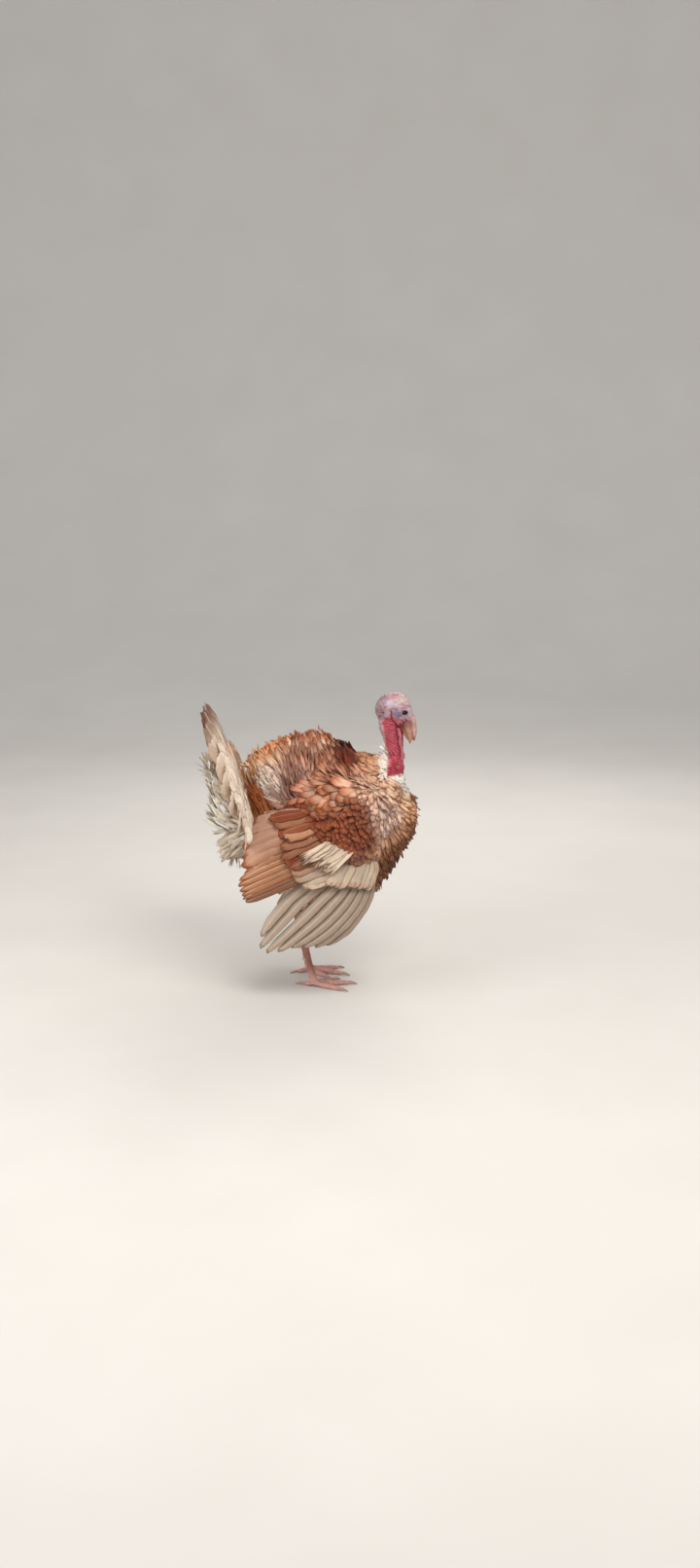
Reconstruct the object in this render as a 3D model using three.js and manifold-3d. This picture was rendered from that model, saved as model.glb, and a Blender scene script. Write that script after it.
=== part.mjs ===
// A domestic turkey tom, life size, standing half in strut: neck drawn up, back feathers raised,
// wings lowered with the primaries spread beside the legs, tail cocked and fanned.
// Millimetres. +X is the way the bird faces, +Y its left side, +Z up, and the floor is z = 0.
import * as THREE from "three";
import { mergeVertices } from "three/addons/utils/BufferGeometryUtils.js";
import Module from "manifold-3d";

const wasm = await Module();
wasm.setup();

// ---------------------------------------------------------------- driving dimensions
const GAP = 0.5; // clear space left between two neighbouring solids
const TRUNK_HALF_WIDTH = 142;
const HIP_SPACING = 112; // between the two feet, centre to centre
const HOCK_HEIGHT = 158;
const FOOT_X = 6; // where the right foot's toes meet its shank
const STRIDE = 22; // how far the left foot stands behind the right one
const TAIL_ROOT = [-156, 0, 395];
const TAIL_LENGTH = 306;
const TAIL_LEAN = 20; // degrees behind the vertical
const TAIL_SPREAD = 95; // degrees from the middle feather to the outermost one
const TAIL_FEATHERS = 18;
const PRIMARIES = 10;
const SECONDARIES = 10;
const EYE_RADIUS = 7.2;
const SIDES = [
  { name: "right", sign: -1, footX: FOOT_X },
  { name: "left", sign: 1, footX: FOOT_X - STRIDE },
];

// ---------------------------------------------------------------- small helpers
const vec = (p) => new THREE.Vector3(...p);
const rad = THREE.MathUtils.degToRad;
const mix = THREE.MathUtils.lerp;

/** A smooth value along a short list of numbers, for u from 0 to 1. */
function along(values, u) {
  const curve = new THREE.SplineCurve(values.map((v) => new THREE.Vector2(v, 0)));
  return curve.getPoint(u).x;
}

/** A closed three.js geometry as a manifold-3d solid. */
function solidOf(geometry) {
  geometry.deleteAttribute("normal");
  geometry.deleteAttribute("uv");
  const merged = mergeVertices(geometry, 1e-3);
  return new wasm.Manifold(
    new wasm.Mesh({
      numProp: 3,
      vertProperties: new Float32Array(merged.attributes.position.array),
      triVerts: new Uint32Array(merged.index.array),
    }),
  );
}

/** Moves every vertex of a geometry to where place() says. */
function reshape(geometry, place) {
  const position = geometry.attributes.position;
  const point = new THREE.Vector3();
  for (let i = 0; i < position.count; i++) {
    point.fromBufferAttribute(position, i);
    place(point);
    position.setXYZ(i, point.x, point.y, point.z);
  }
  return geometry;
}

/** Takes solids away from a solid, and keeps the largest piece that is left. */
function cut(solid, ...others) {
  const left = others.reduce((whole, other) => whole.subtract(other), solid);
  const largest = left.decompose().sort((a, b) => b.volume() - a.volume())[0];
  return largest.simplify(0.4 * GAP);
}

// ---------------------------------------------------------------- the three kinds of shape

/**
 * A rounded body with a given outline in the XZ plane. outline is [x, z] points round the middle,
 * centre is [x, y, z], and halfWidth is how far it reaches to each side along Y.
 */
function ball({ centre, outline, halfWidth, fullness = 2.3, round = 20, rows = 10 }, grow = 0) {
  const rim = new THREE.CatmullRomCurve3(
    outline.map(([x, z]) => new THREE.Vector3(x - centre[0], 0, z - centre[2])),
    true,
  )
    .getSpacedPoints(240)
    .map((p) => ({ angle: Math.atan2(p.z, p.x), reach: p.length() }))
    .sort((a, b) => a.angle - b.angle);
  const reachAt = (angle) => {
    const found = rim.findIndex((r) => r.angle >= angle);
    const next = found < 0 ? 0 : found;
    const before = rim[(next + rim.length - 1) % rim.length];
    const after = rim[next];
    const turn = 2 * Math.PI;
    const span = (after.angle - before.angle + turn) % turn || 1;
    const part = ((angle - before.angle + turn) % turn) / span;
    return mix(before.reach, after.reach, Math.min(part, 1));
  };
  // The sphere's poles lie on Y, so that its rows run round the outline.
  const geometry = new THREE.SphereGeometry(1, round, rows);
  const power = 2 / fullness;
  return solidOf(
    reshape(geometry, (p) => {
      const across = Math.hypot(p.x, p.z);
      const angle = Math.atan2(p.z, p.x);
      const reach = (reachAt(angle) + grow) * across ** power;
      const out = Math.sign(p.y) * Math.abs(p.y) ** power * (halfWidth + grow);
      p.set(
        centre[0] + (across > 1e-6 ? reach * Math.cos(angle) : 0),
        centre[1] + out,
        centre[2] + (across > 1e-6 ? reach * Math.sin(angle) : 0),
      );
    }),
  );
}

/**
 * A closed tube along a spine. Each station has a half width along side, and a half height
 * square to it. Its flat ends are hidden in what it grows from.
 */
function tube({ spine, wide, high = wide, side = [0, 1, 0], sides = 16, steps = 12 }, grow = 0) {
  const curve = new THREE.CatmullRomCurve3(spine.map(vec));
  const geometry = new THREE.CylinderGeometry(1, 1, 1, sides, steps);
  return solidOf(
    reshape(geometry, (p) => {
      const u = THREE.MathUtils.clamp(p.y + 0.5, 0, 1);
      const ahead = curve.getTangent(u);
      const sideways = vec(side).addScaledVector(ahead, -vec(side).dot(ahead)).normalize();
      const upward = new THREE.Vector3().crossVectors(sideways, ahead);
      const end = p.y > 0.499 ? grow : p.y < -0.499 ? -grow : 0;
      const [outward, lift] = [-p.x * (along(wide, u) + grow), -p.z * (along(high, u) + grow)];
      p.copy(curve.getPoint(u))
        .addScaledVector(sideways, outward)
        .addScaledVector(upward, lift)
        .addScaledVector(ahead, end);
    }),
  );
}

/**
 * A spread of overlapping feathers as one thin curved plate. root, middle and tip give a point for
 * s from 0 to 1 across the spread. Each feather's end is rounded, and the notch between two ends
 * is as deep as notch says, as a share of the length.
 */
function spread(shape, grow = 0) {
  const { count, from = 0, to = 1, root, middle, tip, notch, thick, columns = 3, rows = 2 } = shape;
  const surface = (s, t) =>
    root(s)
      .multiplyScalar((1 - t) * (1 - 2 * t))
      .addScaledVector(middle(s), 4 * t * (1 - t))
      .addScaledVector(tip(s), t * (2 * t - 1));
  const geometry = new THREE.BoxGeometry(1, 1, 1, count * columns, rows, 1);
  const step = 0.004;
  return solidOf(
    reshape(geometry, (p) => {
      const cell = (p.x + 0.5) * count;
      const fromShaft = Math.abs(2 * (cell - Math.floor(Math.min(cell, count - 1e-6))) - 1);
      const reach = 1 - notch * fromShaft ** 3;
      const edge = (grow / 60) * Math.sign(p.x) * (Math.abs(p.x) > 0.499 ? 1 : 0);
      const s = mix(from, to, p.x + 0.5) + edge / 4;
      const t = (p.y + 0.5) * reach + (p.y > 0.499 ? grow / 100 : 0);
      const bySpread = surface(s + step, t).sub(surface(s - step, t));
      const byLength = surface(s, t + step).sub(surface(s, t - step));
      const normal = bySpread.cross(byLength).normalize();
      const ridge = 1 - 0.45 * fromShaft;
      const half = mix(thick[0], thick[1], t) * ridge * 0.5 + grow;
      const lift = half * 2 * p.z;
      p.copy(surface(s, t)).addScaledVector(normal, lift);
    }),
  );
}

// ---------------------------------------------------------------- trunk, neck and head

const trunk = (grow) =>
  ball(
    {
      centre: [45, 0, 395],
      halfWidth: TRUNK_HALF_WIDTH,
      round: 30,
      rows: 12,
      outline: [
        [234, 493], // breast, below the neck
        [252, 450],
        [256, 410],
        [239, 372],
        [205, 302],
        [147, 228], // lower breast
        [70, 190], // belly
        [-20, 192],
        [-100, 245],
        [-152, 330], // vent
        [-172, 430],
        [-165, 515],
        [-150, 546], // rump
        [-75, 594],
        [22, 611], // top of the raised back feathers
        [90, 587],
        [160, 556], // shoulders
      ],
    },
    grow,
  );

const neckBase = (grow) =>
  tube(
    {
      spine: [
        [105, 0, 425],
        [150, 0, 490],
        [181, 0, 537],
        [193, 0, 566],
      ],
      wide: [88, 58, 33, 24],
      high: [82, 56, 34, 25],
      sides: 18,
      steps: 6,
    },
    grow,
  );

const bareNeck = (grow) =>
  tube(
    {
      spine: [
        [203, 0, 515],
        [198, 0, 545],
        [195, 0, 575],
        [189, 0, 608],
        [181, 0, 634],
        [177, 0, 658],
      ],
      wide: [17, 18, 18, 18.5, 19, 15],
      high: [17, 18, 19, 20, 22, 17],
      sides: 14,
      steps: 8,
    },
    grow,
  );

const head = (grow) =>
  ball(
    {
      centre: [196, 0, 674],
      halfWidth: 22,
      fullness: 2.15,
      outline: [
        [239, 650], // forehead, above the bill
        [238, 664],
        [235, 680],
        [228, 694],
        [215, 705],
        [202, 710], // crown
        [187, 709],
        [171, 703],
        [159, 693],
        [153, 679], // back of the head
        [152, 665],
        [157, 650],
        [169, 637],
        [186, 632], // angle of the jaw
        [203, 633],
        [217, 634],
        [230, 638],
      ],
    },
    grow,
  );

const upperBill = (grow) =>
  tube(
    {
      spine: [
        [222, 0, 655],
        [227, 0, 637],
        [231, 0, 618],
        [233.5, 0, 602],
        [233.5, 0, 589],
      ],
      wide: [13, 11.5, 9, 6, 1.6],
      high: [16, 12.5, 9, 6, 1.6],
      sides: 10,
      steps: 6,
    },
    grow,
  );

const lowerBill = (grow) =>
  tube(
    {
      spine: [
        [205, 0, 646],
        [215, 0, 627],
        [223, 0, 611],
        [229, 0, 598],
      ],
      wide: [13, 10, 7, 2.2],
      high: [6, 5, 4.2, 1.8],
      sides: 8,
      steps: 4,
    },
    grow,
  );

const snood = (grow) =>
  tube(
    {
      spine: [
        [233, 1, 660],
        [242.5, 1, 646],
        [246.5, 0, 628],
        [246.5, -2, 611],
        [244.5, -3, 597],
      ],
      wide: [5, 5.5, 5.5, 5, 2],
      high: [6, 5.5, 5, 4.5, 2],
      sides: 8,
      steps: 8,
    },
    grow,
  );

// The skin that hangs under the chin and down the front of the throat.
const dewlap = (grow) =>
  ball(
    {
      centre: [203, 0, 585],
      halfWidth: 6.5,
      fullness: 2.6,
      round: 18,
      rows: 4,
      outline: [
        [213, 634],
        [217, 615],
        [217, 592],
        [218, 570],
        [221, 550],
        [222, 534],
        [214, 522],
        [203, 526],
        [196, 560],
        [194, 600],
        [199, 632],
      ],
    },
    grow,
  );

const eye = (sign, grow) =>
  solidOf(
    new THREE.SphereGeometry(EYE_RADIUS + grow, 10, 6).translate(223, sign * 14.2, 667),
  );

// ---------------------------------------------------------------- legs

/** A point of one leg, given for a leg whose toes meet at x = 0, at a distance from its middle. */
const legPoint = ({ sign, footX }, x, z, outward = 0) => [
  footX + x,
  sign * (HIP_SPACING / 2 + outward),
  z,
];

const thigh = (side, grow) =>
  tube(
    {
      spine: [
        [70, side.sign * 62, 275],
        [42, side.sign * 62, 232],
        legPoint(side, -6, 188, 2),
        legPoint(side, -27, HOCK_HEIGHT + 3),
      ],
      wide: [50, 42, 25, 12],
      high: [60, 48, 26, 13],
      sides: 12,
      steps: 5,
    },
    grow,
  );

const shank = (side, grow) =>
  tube(
    {
      spine: [
        legPoint(side, -28, HOCK_HEIGHT + 12),
        legPoint(side, -27, HOCK_HEIGHT - 6),
        legPoint(side, -20, 110),
        legPoint(side, -10, 60),
        legPoint(side, -2, 26),
        legPoint(side, 3, 8),
      ],
      wide: [8, 9.5, 6.2, 6.2, 8.5, 9],
      high: [9, 11, 7.4, 7.2, 9.5, 8],
      sides: 10,
      steps: 8,
    },
    grow,
  );

// A small conical spur on the inner back of the shank.
const spur = (side, grow) =>
  tube(
    {
      spine: [
        legPoint(side, -15, 66, -3),
        legPoint(side, -22, 65, -6),
        legPoint(side, -29, 67, -9),
      ],
      wide: [4, 3, 0.7],
      sides: 6,
      steps: 2,
    },
    grow,
  );

// Each toe: how far it turns outward, in degrees, and the length of its flesh and of its claw.
const TOES = [
  { name: "middle", turn: -13, flesh: 88, claw: 19, radius: 7 },
  { name: "outer", turn: 23, flesh: 77, claw: 17, radius: 6.3 },
  { name: "inner", turn: -44, flesh: 67, claw: 17, radius: 6.5 },
  { name: "hind", turn: 200, flesh: 28, claw: 20, radius: 5.4 },
];

/** A point at a distance out from the foot's joint along a toe, at a height. */
function toePoint(toe, side, out, height) {
  const turn = rad(toe.turn);
  return legPoint(side, out * Math.cos(turn), height, out * Math.sin(turn));
}

function toeSide(toe, side) {
  const turn = rad(toe.turn) * side.sign;
  return [-Math.sin(turn), Math.cos(turn), 0];
}

const toeFlesh = (toe, side, grow) => {
  const { radius: r, flesh } = toe;
  return tube(
    {
      spine: [
        toePoint(toe, side, 1, r + 5),
        toePoint(toe, side, flesh * 0.28, r + 1.5),
        toePoint(toe, side, flesh * 0.54, r * 0.95),
        toePoint(toe, side, flesh * 0.8, r * 0.8),
        toePoint(toe, side, flesh, r * 0.7),
      ],
      wide: [r * 1.05, r, r * 0.98, r * 0.85, r * 0.62],
      high: [r * 1.05, r, r, r * 0.9, r * 0.62],
      side: toeSide(toe, side),
      sides: 8,
      steps: 4,
    },
    grow,
  );
};

const toeClaw = (toe, side, grow) => {
  const { radius: r, flesh, claw } = toe;
  return tube(
    {
      spine: [
        toePoint(toe, side, flesh - 4, r * 0.85),
        toePoint(toe, side, flesh + claw * 0.35, r * 0.8),
        toePoint(toe, side, flesh + claw * 0.75, r * 0.42),
        toePoint(toe, side, flesh + claw, 0.9),
      ],
      wide: [r * 0.5, r * 0.42, r * 0.27, 0.8],
      high: [r * 0.52, r * 0.46, r * 0.28, 0.8],
      side: toeSide(toe, side),
      sides: 6,
      steps: 4,
    },
    grow,
  );
};

// ---------------------------------------------------------------- wings

/** A curve through points on one side of the bird, for s from 0 to 1. */
function sideCurve(sign, points) {
  const curve = new THREE.CatmullRomCurve3(points.map(([x, y, z]) => vec([x, sign * y, z])));
  return (s) => curve.getPoint(THREE.MathUtils.clamp(s, 0, 1));
}

// The arm of the wing with its coverts, a shield on the side of the trunk.
const wingArm = (sign, grow) =>
  ball(
    {
      centre: [62, sign * 118, 425],
      halfWidth: 57,
      fullness: 2.4,
      rows: 8,
      outline: [
        [190, 465],
        [184, 430],
        [175, 390],
        [164, 345],
        [152, 306], // wrist
        [125, 290],
        [80, 304],
        [28, 325],
        [-22, 346],
        [-58, 385],
        [-58, 440],
        [-36, 500],
        [22, 545], // scapulars
        [80, 550],
        [120, 540],
        [162, 512],
      ],
    },
    grow,
  );

const primaries = (sign, grow) =>
  spread(
    {
      count: PRIMARIES,
      root: sideCurve(sign, [
        [156, 148, 318],
        [124, 152, 316],
        [80, 152, 328],
      ]),
      middle: sideCurve(sign, [
        [128, 178, 222],
        [84, 182, 214],
        [34, 180, 220],
        [-12, 176, 246],
      ]),
      tip: sideCurve(sign, [
        [46, 186, 144],
        [8, 190, 138],
        [-30, 191, 138],
        [-72, 189, 125],
        [-106, 186, 124],
        [-106, 184, 160],
      ]),
      notch: 0.2,
      thick: [9, 3],
      rows: 3,
    },
    grow,
  );

const secondaries = (sign, grow) =>
  spread(
    {
      count: SECONDARIES,
      root: sideCurve(sign, [
        [74, 167, 320],
        [52, 170, 352],
        [24, 164, 404],
        [8, 150, 456],
      ]),
      middle: sideCurve(sign, [
        [-20, 196, 262],
        [-44, 193, 322],
        [-60, 184, 388],
        [-66, 168, 440],
      ]),
      tip: sideCurve(sign, [
        [-134, 206, 204],
        [-147, 200, 256],
        [-152, 190, 300],
        [-144, 178, 350],
        [-132, 156, 426],
      ]),
      notch: 0.07,
      thick: [9, 3],
    },
    grow,
  );

// ---------------------------------------------------------------- tail

/** A point of the tail fan, from its outermost right feather, s = 0, to the left one, s = 1. */
function tailPoint(s, share) {
  const turn = rad(mix(-TAIL_SPREAD, TAIL_SPREAD, s));
  const lean = rad(TAIL_LEAN);
  const upward = new THREE.Vector3(-Math.sin(lean), 0, Math.cos(lean));
  const forward = new THREE.Vector3(Math.cos(lean), 0, Math.sin(lean));
  const length = TAIL_LENGTH * (1 - 0.06 * (2 * s - 1) ** 2) * share;
  const bow = 10 * Math.sin(Math.PI * share); // the shafts arch forward a little
  return vec(TAIL_ROOT)
    .add(new THREE.Vector3(0, length * Math.sin(turn), 0))
    .addScaledVector(upward, length * Math.cos(turn))
    .addScaledVector(forward, bow);
}

const tailShare = (from, to, count, grow) =>
  spread(
    {
      count,
      from,
      to,
      root: (s) => tailPoint(s, 0.14),
      middle: (s) => tailPoint(s, 0.57),
      tip: (s) => tailPoint(s, 1),
      notch: 0.1,
      thick: [8, 3.4],
    },
    grow,
  );

const TAIL_THIRDS = [
  ["tail_right", 0, 1 / 3],
  ["tail_middle", 1 / 3, 2 / 3],
  ["tail_left", 2 / 3, 1],
];
const TAIL_CLEAR = 0.0009; // half of the gap between two thirds, as a share of the spread

// The downy feathers below and behind the root of the tail.
const ventFluff = (grow) =>
  ball(
    {
      centre: [-200, 0, 415],
      halfWidth: 74,
      fullness: 2.2,
      round: 16,
      rows: 8,
      outline: [
        [-120, 300],
        [-160, 280],
        [-204, 310],
        [-232, 380],
        [-248, 450],
        [-252, 520],
        [-242, 566],
        [-222, 560],
        [-200, 500],
        [-150, 420],
        [-115, 360],
      ],
    },
    grow,
  );

// ---------------------------------------------------------------- materials

const finish = (color, roughness) =>
  new THREE.MeshStandardMaterial({ color, roughness, metalness: 0 });
const BUFF_RUST = finish(0xb98a6a, 0.85);
const RUST = finish(0xa8704a, 0.8);
const CREAM = finish(0xd6c3ac, 0.8);
const PALE_SKIN = finish(0xc8a9b2, 0.55);
const RED_SKIN = finish(0xb8484f, 0.5);
const SCALY_SKIN = finish(0xb58c82, 0.6);
const HORN = finish(0xc0a488, 0.45);
const DARK_EYE = finish(0x1a1210, 0.1);

// ---------------------------------------------------------------- the bird

const bird = new THREE.Group();

/** Adds a solid to the bird as one named mesh. */
function add(name, solid, material) {
  const made = solid.getMesh();
  const geometry = new THREE.BufferGeometry();
  geometry.setAttribute("position", new THREE.BufferAttribute(made.vertProperties, 3));
  geometry.setIndex(new THREE.BufferAttribute(made.triVerts, 1));
  const mesh = new THREE.Mesh(geometry, material);
  mesh.name = name;
  bird.add(mesh);
}

const belowFloor = solidOf(new THREE.BoxGeometry(600, 600, 100).translate(0, 0, -50));
const grownTrunk = trunk(GAP);
const grownHead = head(GAP);
const grownNeckBase = neckBase(GAP);

add("trunk", trunk(0), BUFF_RUST);
add("neck_base", cut(neckBase(0), grownTrunk), CREAM);
add("neck_bare", cut(bareNeck(0), grownNeckBase, grownHead, grownTrunk), RED_SKIN);
add("head", cut(head(0), eye(-1, GAP), eye(1, GAP)), PALE_SKIN);
add("bill_upper", cut(upperBill(0), grownHead), HORN);
add("bill_lower", cut(lowerBill(0), grownHead, upperBill(GAP)), HORN);
add("snood", cut(snood(0), grownHead, upperBill(GAP)), RED_SKIN);
add(
  "dewlap",
  cut(dewlap(0), bareNeck(GAP), grownNeckBase, grownHead, lowerBill(GAP), grownTrunk),
  RED_SKIN,
);
add("vent_fluff", cut(ventFluff(0), grownTrunk, tailShare(0, 1, TAIL_FEATHERS, 2 * GAP)), CREAM);

for (const [name, from, to] of TAIL_THIRDS) {
  const [start, end] = [from ? from + TAIL_CLEAR : from, to < 1 ? to - TAIL_CLEAR : to];
  add(name, cut(tailShare(start, end, TAIL_FEATHERS / 3, 0), grownTrunk), CREAM);
}

for (const side of SIDES) {
  const { name, sign } = side;
  const grownArm = wingArm(sign, GAP);
  const grownPrimaries = primaries(sign, 2 * GAP);
  const grownShank = shank(side, GAP);
  add(`eye_${name}`, eye(sign, 0), DARK_EYE);
  add(`wing_arm_${name}`, cut(wingArm(sign, 0), grownTrunk, grownNeckBase), RUST);
  add(`primaries_${name}`, cut(primaries(sign, 0), grownArm, grownTrunk), CREAM);
  add(
    `secondaries_${name}`,
    cut(secondaries(sign, 0), grownArm, grownTrunk, grownPrimaries),
    BUFF_RUST,
  );
  add(
    `thigh_${name}`,
    cut(thigh(side, 0), grownTrunk, grownShank, grownArm, grownPrimaries),
    CREAM,
  );
  add(`shank_${name}`, cut(shank(side, 0), belowFloor), SCALY_SKIN);
  add(`spur_${name}`, cut(spur(side, 0), grownShank), HORN);
  let takenUp = [grownShank, belowFloor];
  for (const toe of TOES) {
    const flesh = cut(toeFlesh(toe, side, 0), ...takenUp);
    const claw = cut(toeClaw(toe, side, 0), toeFlesh(toe, side, GAP), belowFloor);
    add(`toe_${toe.name}_${name}`, flesh, SCALY_SKIN);
    add(`claw_${toe.name}_${name}`, claw, HORN);
    takenUp = [...takenUp, toeFlesh(toe, side, GAP)];
  }
}

// The frame's origin is on the floor, below the middle of the bird's bounding box.
const box = new THREE.Box3().setFromObject(bird);
const middle = box.getCenter(new THREE.Vector3());
bird.position.set(-middle.x, -middle.y, 0);

export default bird;
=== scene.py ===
"""A domestic turkey, life size: one skin, a coat of solid feather vanes, and its bare head, legs and claws.

The bird faces +X and stands on the floor at z = 0. Lengths are in millimetres, or in metres where it is said.
"""

import math

import bmesh
import bpy
import numpy as np
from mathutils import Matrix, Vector
from mathutils.kdtree import KDTree


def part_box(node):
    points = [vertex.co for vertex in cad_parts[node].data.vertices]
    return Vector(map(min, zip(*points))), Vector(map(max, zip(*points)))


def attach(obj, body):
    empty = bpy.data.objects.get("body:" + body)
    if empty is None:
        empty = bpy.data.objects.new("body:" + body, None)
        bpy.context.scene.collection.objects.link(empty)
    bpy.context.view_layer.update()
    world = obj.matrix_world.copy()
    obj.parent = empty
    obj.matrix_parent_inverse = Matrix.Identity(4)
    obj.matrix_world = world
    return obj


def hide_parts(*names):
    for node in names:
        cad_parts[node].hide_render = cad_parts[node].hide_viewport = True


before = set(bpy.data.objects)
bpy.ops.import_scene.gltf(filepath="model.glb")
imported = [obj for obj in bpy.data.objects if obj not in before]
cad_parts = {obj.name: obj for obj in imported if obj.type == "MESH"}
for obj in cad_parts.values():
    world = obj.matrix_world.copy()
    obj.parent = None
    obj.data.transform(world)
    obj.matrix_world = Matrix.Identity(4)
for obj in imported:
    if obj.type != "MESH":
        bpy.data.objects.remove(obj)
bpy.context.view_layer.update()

SEED = 7
SIDES = ("right", "left")
SIDE_SIGNS = (("right", -1), ("left", 1))  # the left side is at +y
CAD_EYE_X = 223.0  # the eye's place along the drawing's own x
EYE = (220.6, 14.8, 665.8)  # centre of the left eye; the right one is at -y
EYE_RADIUS = 7.2
EYE_AXIS = (0.28, 1.0, 0.02)  # where the left eye looks
EYE_OPENING = (5.6, 4.7)  # half of the width and height between the lids

# The drawing's own x = 0 lies between the feet; the frame's lies in the middle of the whole bird.
eye_low, eye_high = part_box("eye_right")
SHIFT = np.array([(eye_low.x + eye_high.x) * 500 - CAD_EYE_X, 0.0, 0.0])


# ---------------------------------------------------------------- small helpers


def metres(points):
    """Places in the frame, in metres, of the drawing's places in millimetres."""
    return (np.asarray(points, dtype=np.float64) + SHIFT) / 1000


def millimetres(points):
    """The drawing's places in millimetres, of the frame's in metres."""
    return np.asarray(points, dtype=np.float64) * 1000 - SHIFT


def linear(rgb):
    """Linear colour of an 8-bit sRGB one."""
    c = np.asarray(rgb, dtype=np.float64) / 255
    return np.where(c <= 0.04045, c / 12.92, ((c + 0.055) / 1.055) ** 2.4)


def rgba(rgb):
    return (*linear(rgb), 1.0)


def unit(v):
    return v / np.maximum(np.linalg.norm(v, axis=-1, keepdims=True), 1e-9)


def mixed(a, b, share):
    """a where the share is 0, b where it is 1."""
    return a * (1 - share) + b * share


def smooth_step(low, high, value):
    t = np.clip((value - low) / (high - low), 0, 1)
    return t * t * (3 - 2 * t)


def between(value, start, full, fade, end):
    """0 before start and after end, 1 from full to fade, and smooth in between."""
    return smooth_step(start, full, value) * smooth_step(end, fade, value)


def bell(value, width):
    """1 where the value is 0, fading to 0 a few widths away."""
    return np.exp(-((value / width) ** 2))


def hashed(cell, seed):
    """A number from 0 to 1 for each whole-numbered cell."""
    h = cell[..., 0] * 374761393 + cell[..., 1] * 668265263 + cell[..., 2] * 1442695041
    h = (h + seed * 974634777) & 0xFFFFFFFF
    h = ((h ^ (h >> 13)) * 1274126177) & 0xFFFFFFFF
    return ((h ^ (h >> 16)) & 0xFFFF) / 65535


def noise(points, size, seed):
    """Smooth noise from -1 to 1, with bumps of about this size."""
    p = np.asarray(points) / size
    low = np.floor(p).astype(np.int64)
    f = p - low
    f = f * f * (3 - 2 * f)
    total = np.zeros(p.shape[:-1])
    for corner in np.ndindex(2, 2, 2):
        c = np.array(corner)
        weight = np.prod(np.where(c == 1, f, 1 - f), axis=-1)
        total += weight * hashed(low + c, seed)
    return total * 2 - 1


def to_left(points):
    """A copy of the points, with those of the right side mirrored to the left."""
    p = points.copy()
    p[:, 1] = np.abs(p[:, 1])
    return p


def near(points, centre, reach):
    """1 at the centre, fading to 0 a few reaches away; the left and right sides are alike."""
    return np.exp(-(((to_left(points) - np.array(centre)) / np.array(reach)) ** 2).sum(axis=1))


def curve_through(points, s):
    """Smooth curve through a few points at equal steps; s from 0 to 1."""
    p = np.array(points, dtype=np.float64)
    at = np.asarray(s) * (len(p) - 1)
    i = np.clip(np.floor(at).astype(int), 0, len(p) - 2)
    f = (at - i)[:, None]
    before, after = np.clip(i - 1, 0, len(p) - 1), np.clip(i + 2, 0, len(p) - 1)
    a, b, c, d = p[before], p[i], p[i + 1], p[after]
    return 0.5 * (2 * b + (c - a) * f + (2 * a - 5 * b + 4 * c - d) * f**2 + (3 * b - a - 3 * c + d) * f**3)


def coordinates(mesh):
    co = np.empty(len(mesh.vertices) * 3)
    mesh.vertices.foreach_get("co", co)
    return co.reshape(-1, 3)


def normals(mesh):
    n = np.empty(len(mesh.vertices) * 3)
    mesh.vertices.foreach_get("normal", n)
    return n.reshape(-1, 3)


def set_coordinates(mesh, co):
    mesh.vertices.foreach_set("co", co.ravel())
    mesh.update()


def add_object(name, data):
    obj = bpy.data.objects.new(name, data)
    bpy.context.scene.collection.objects.link(obj)
    return obj


def applied(obj):
    """Bakes the object's modifiers into its mesh."""
    shaped = bpy.data.meshes.new_from_object(obj.evaluated_get(bpy.context.evaluated_depsgraph_get()))
    obj.modifiers.clear()
    obj.data = shaped
    return obj


def remeshed(obj, voxel):
    step = obj.modifiers.new("even", "REMESH")
    step.mode = "VOXEL"
    step.voxel_size = voxel / 1000
    return applied(obj)


def smoothed(obj, rounds):
    step = obj.modifiers.new("soften", "SMOOTH")
    step.iterations = rounds
    step.factor = 0.5
    return applied(obj)


def dressed(obj, material):
    """Gives the object smooth shading, and this material alone."""
    obj.data.polygons.foreach_set("use_smooth", np.ones(len(obj.data.polygons), dtype=bool))
    obj.data.materials.clear()
    obj.data.materials.append(material)


def set_point_colours(mesh, label, colours, alpha):
    values = np.ones((len(mesh.vertices), 4))
    values[:, :3] = np.clip(colours, 0, 1)
    values[:, 3] = alpha
    layer = mesh.attributes.new(label, "FLOAT_COLOR", "POINT")
    layer.data.foreach_set("color", values.ravel())


def search_tree(points):
    """A tree that finds the points nearest to a place."""
    tree = KDTree(len(points))
    for i, p in enumerate(points.tolist()):
        tree.insert(p, i)
    tree.balance()
    return tree


def keep_largest_island(mesh):
    """Drops every piece of the mesh that isn't connected to its largest one."""
    ends = np.empty(len(mesh.edges) * 2, dtype=np.int32)
    mesh.edges.foreach_get("vertices", ends)
    a, b = ends.reshape(-1, 2).T
    island = np.arange(len(mesh.vertices))
    while True:
        lower = np.minimum(island[a], island[b])
        spread = island.copy()
        np.minimum.at(spread, a, lower)
        np.minimum.at(spread, b, lower)
        spread = spread[spread]
        if (spread == island).all():
            break
        island = spread
    stray = np.flatnonzero(island != np.bincount(island).argmax())
    edited = bmesh.new()
    edited.from_mesh(mesh)
    edited.verts.ensure_lookup_table()
    bmesh.ops.delete(edited, geom=[edited.verts[i] for i in stray.tolist()], context="VERTS")
    edited.to_mesh(mesh)
    edited.free()


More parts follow.
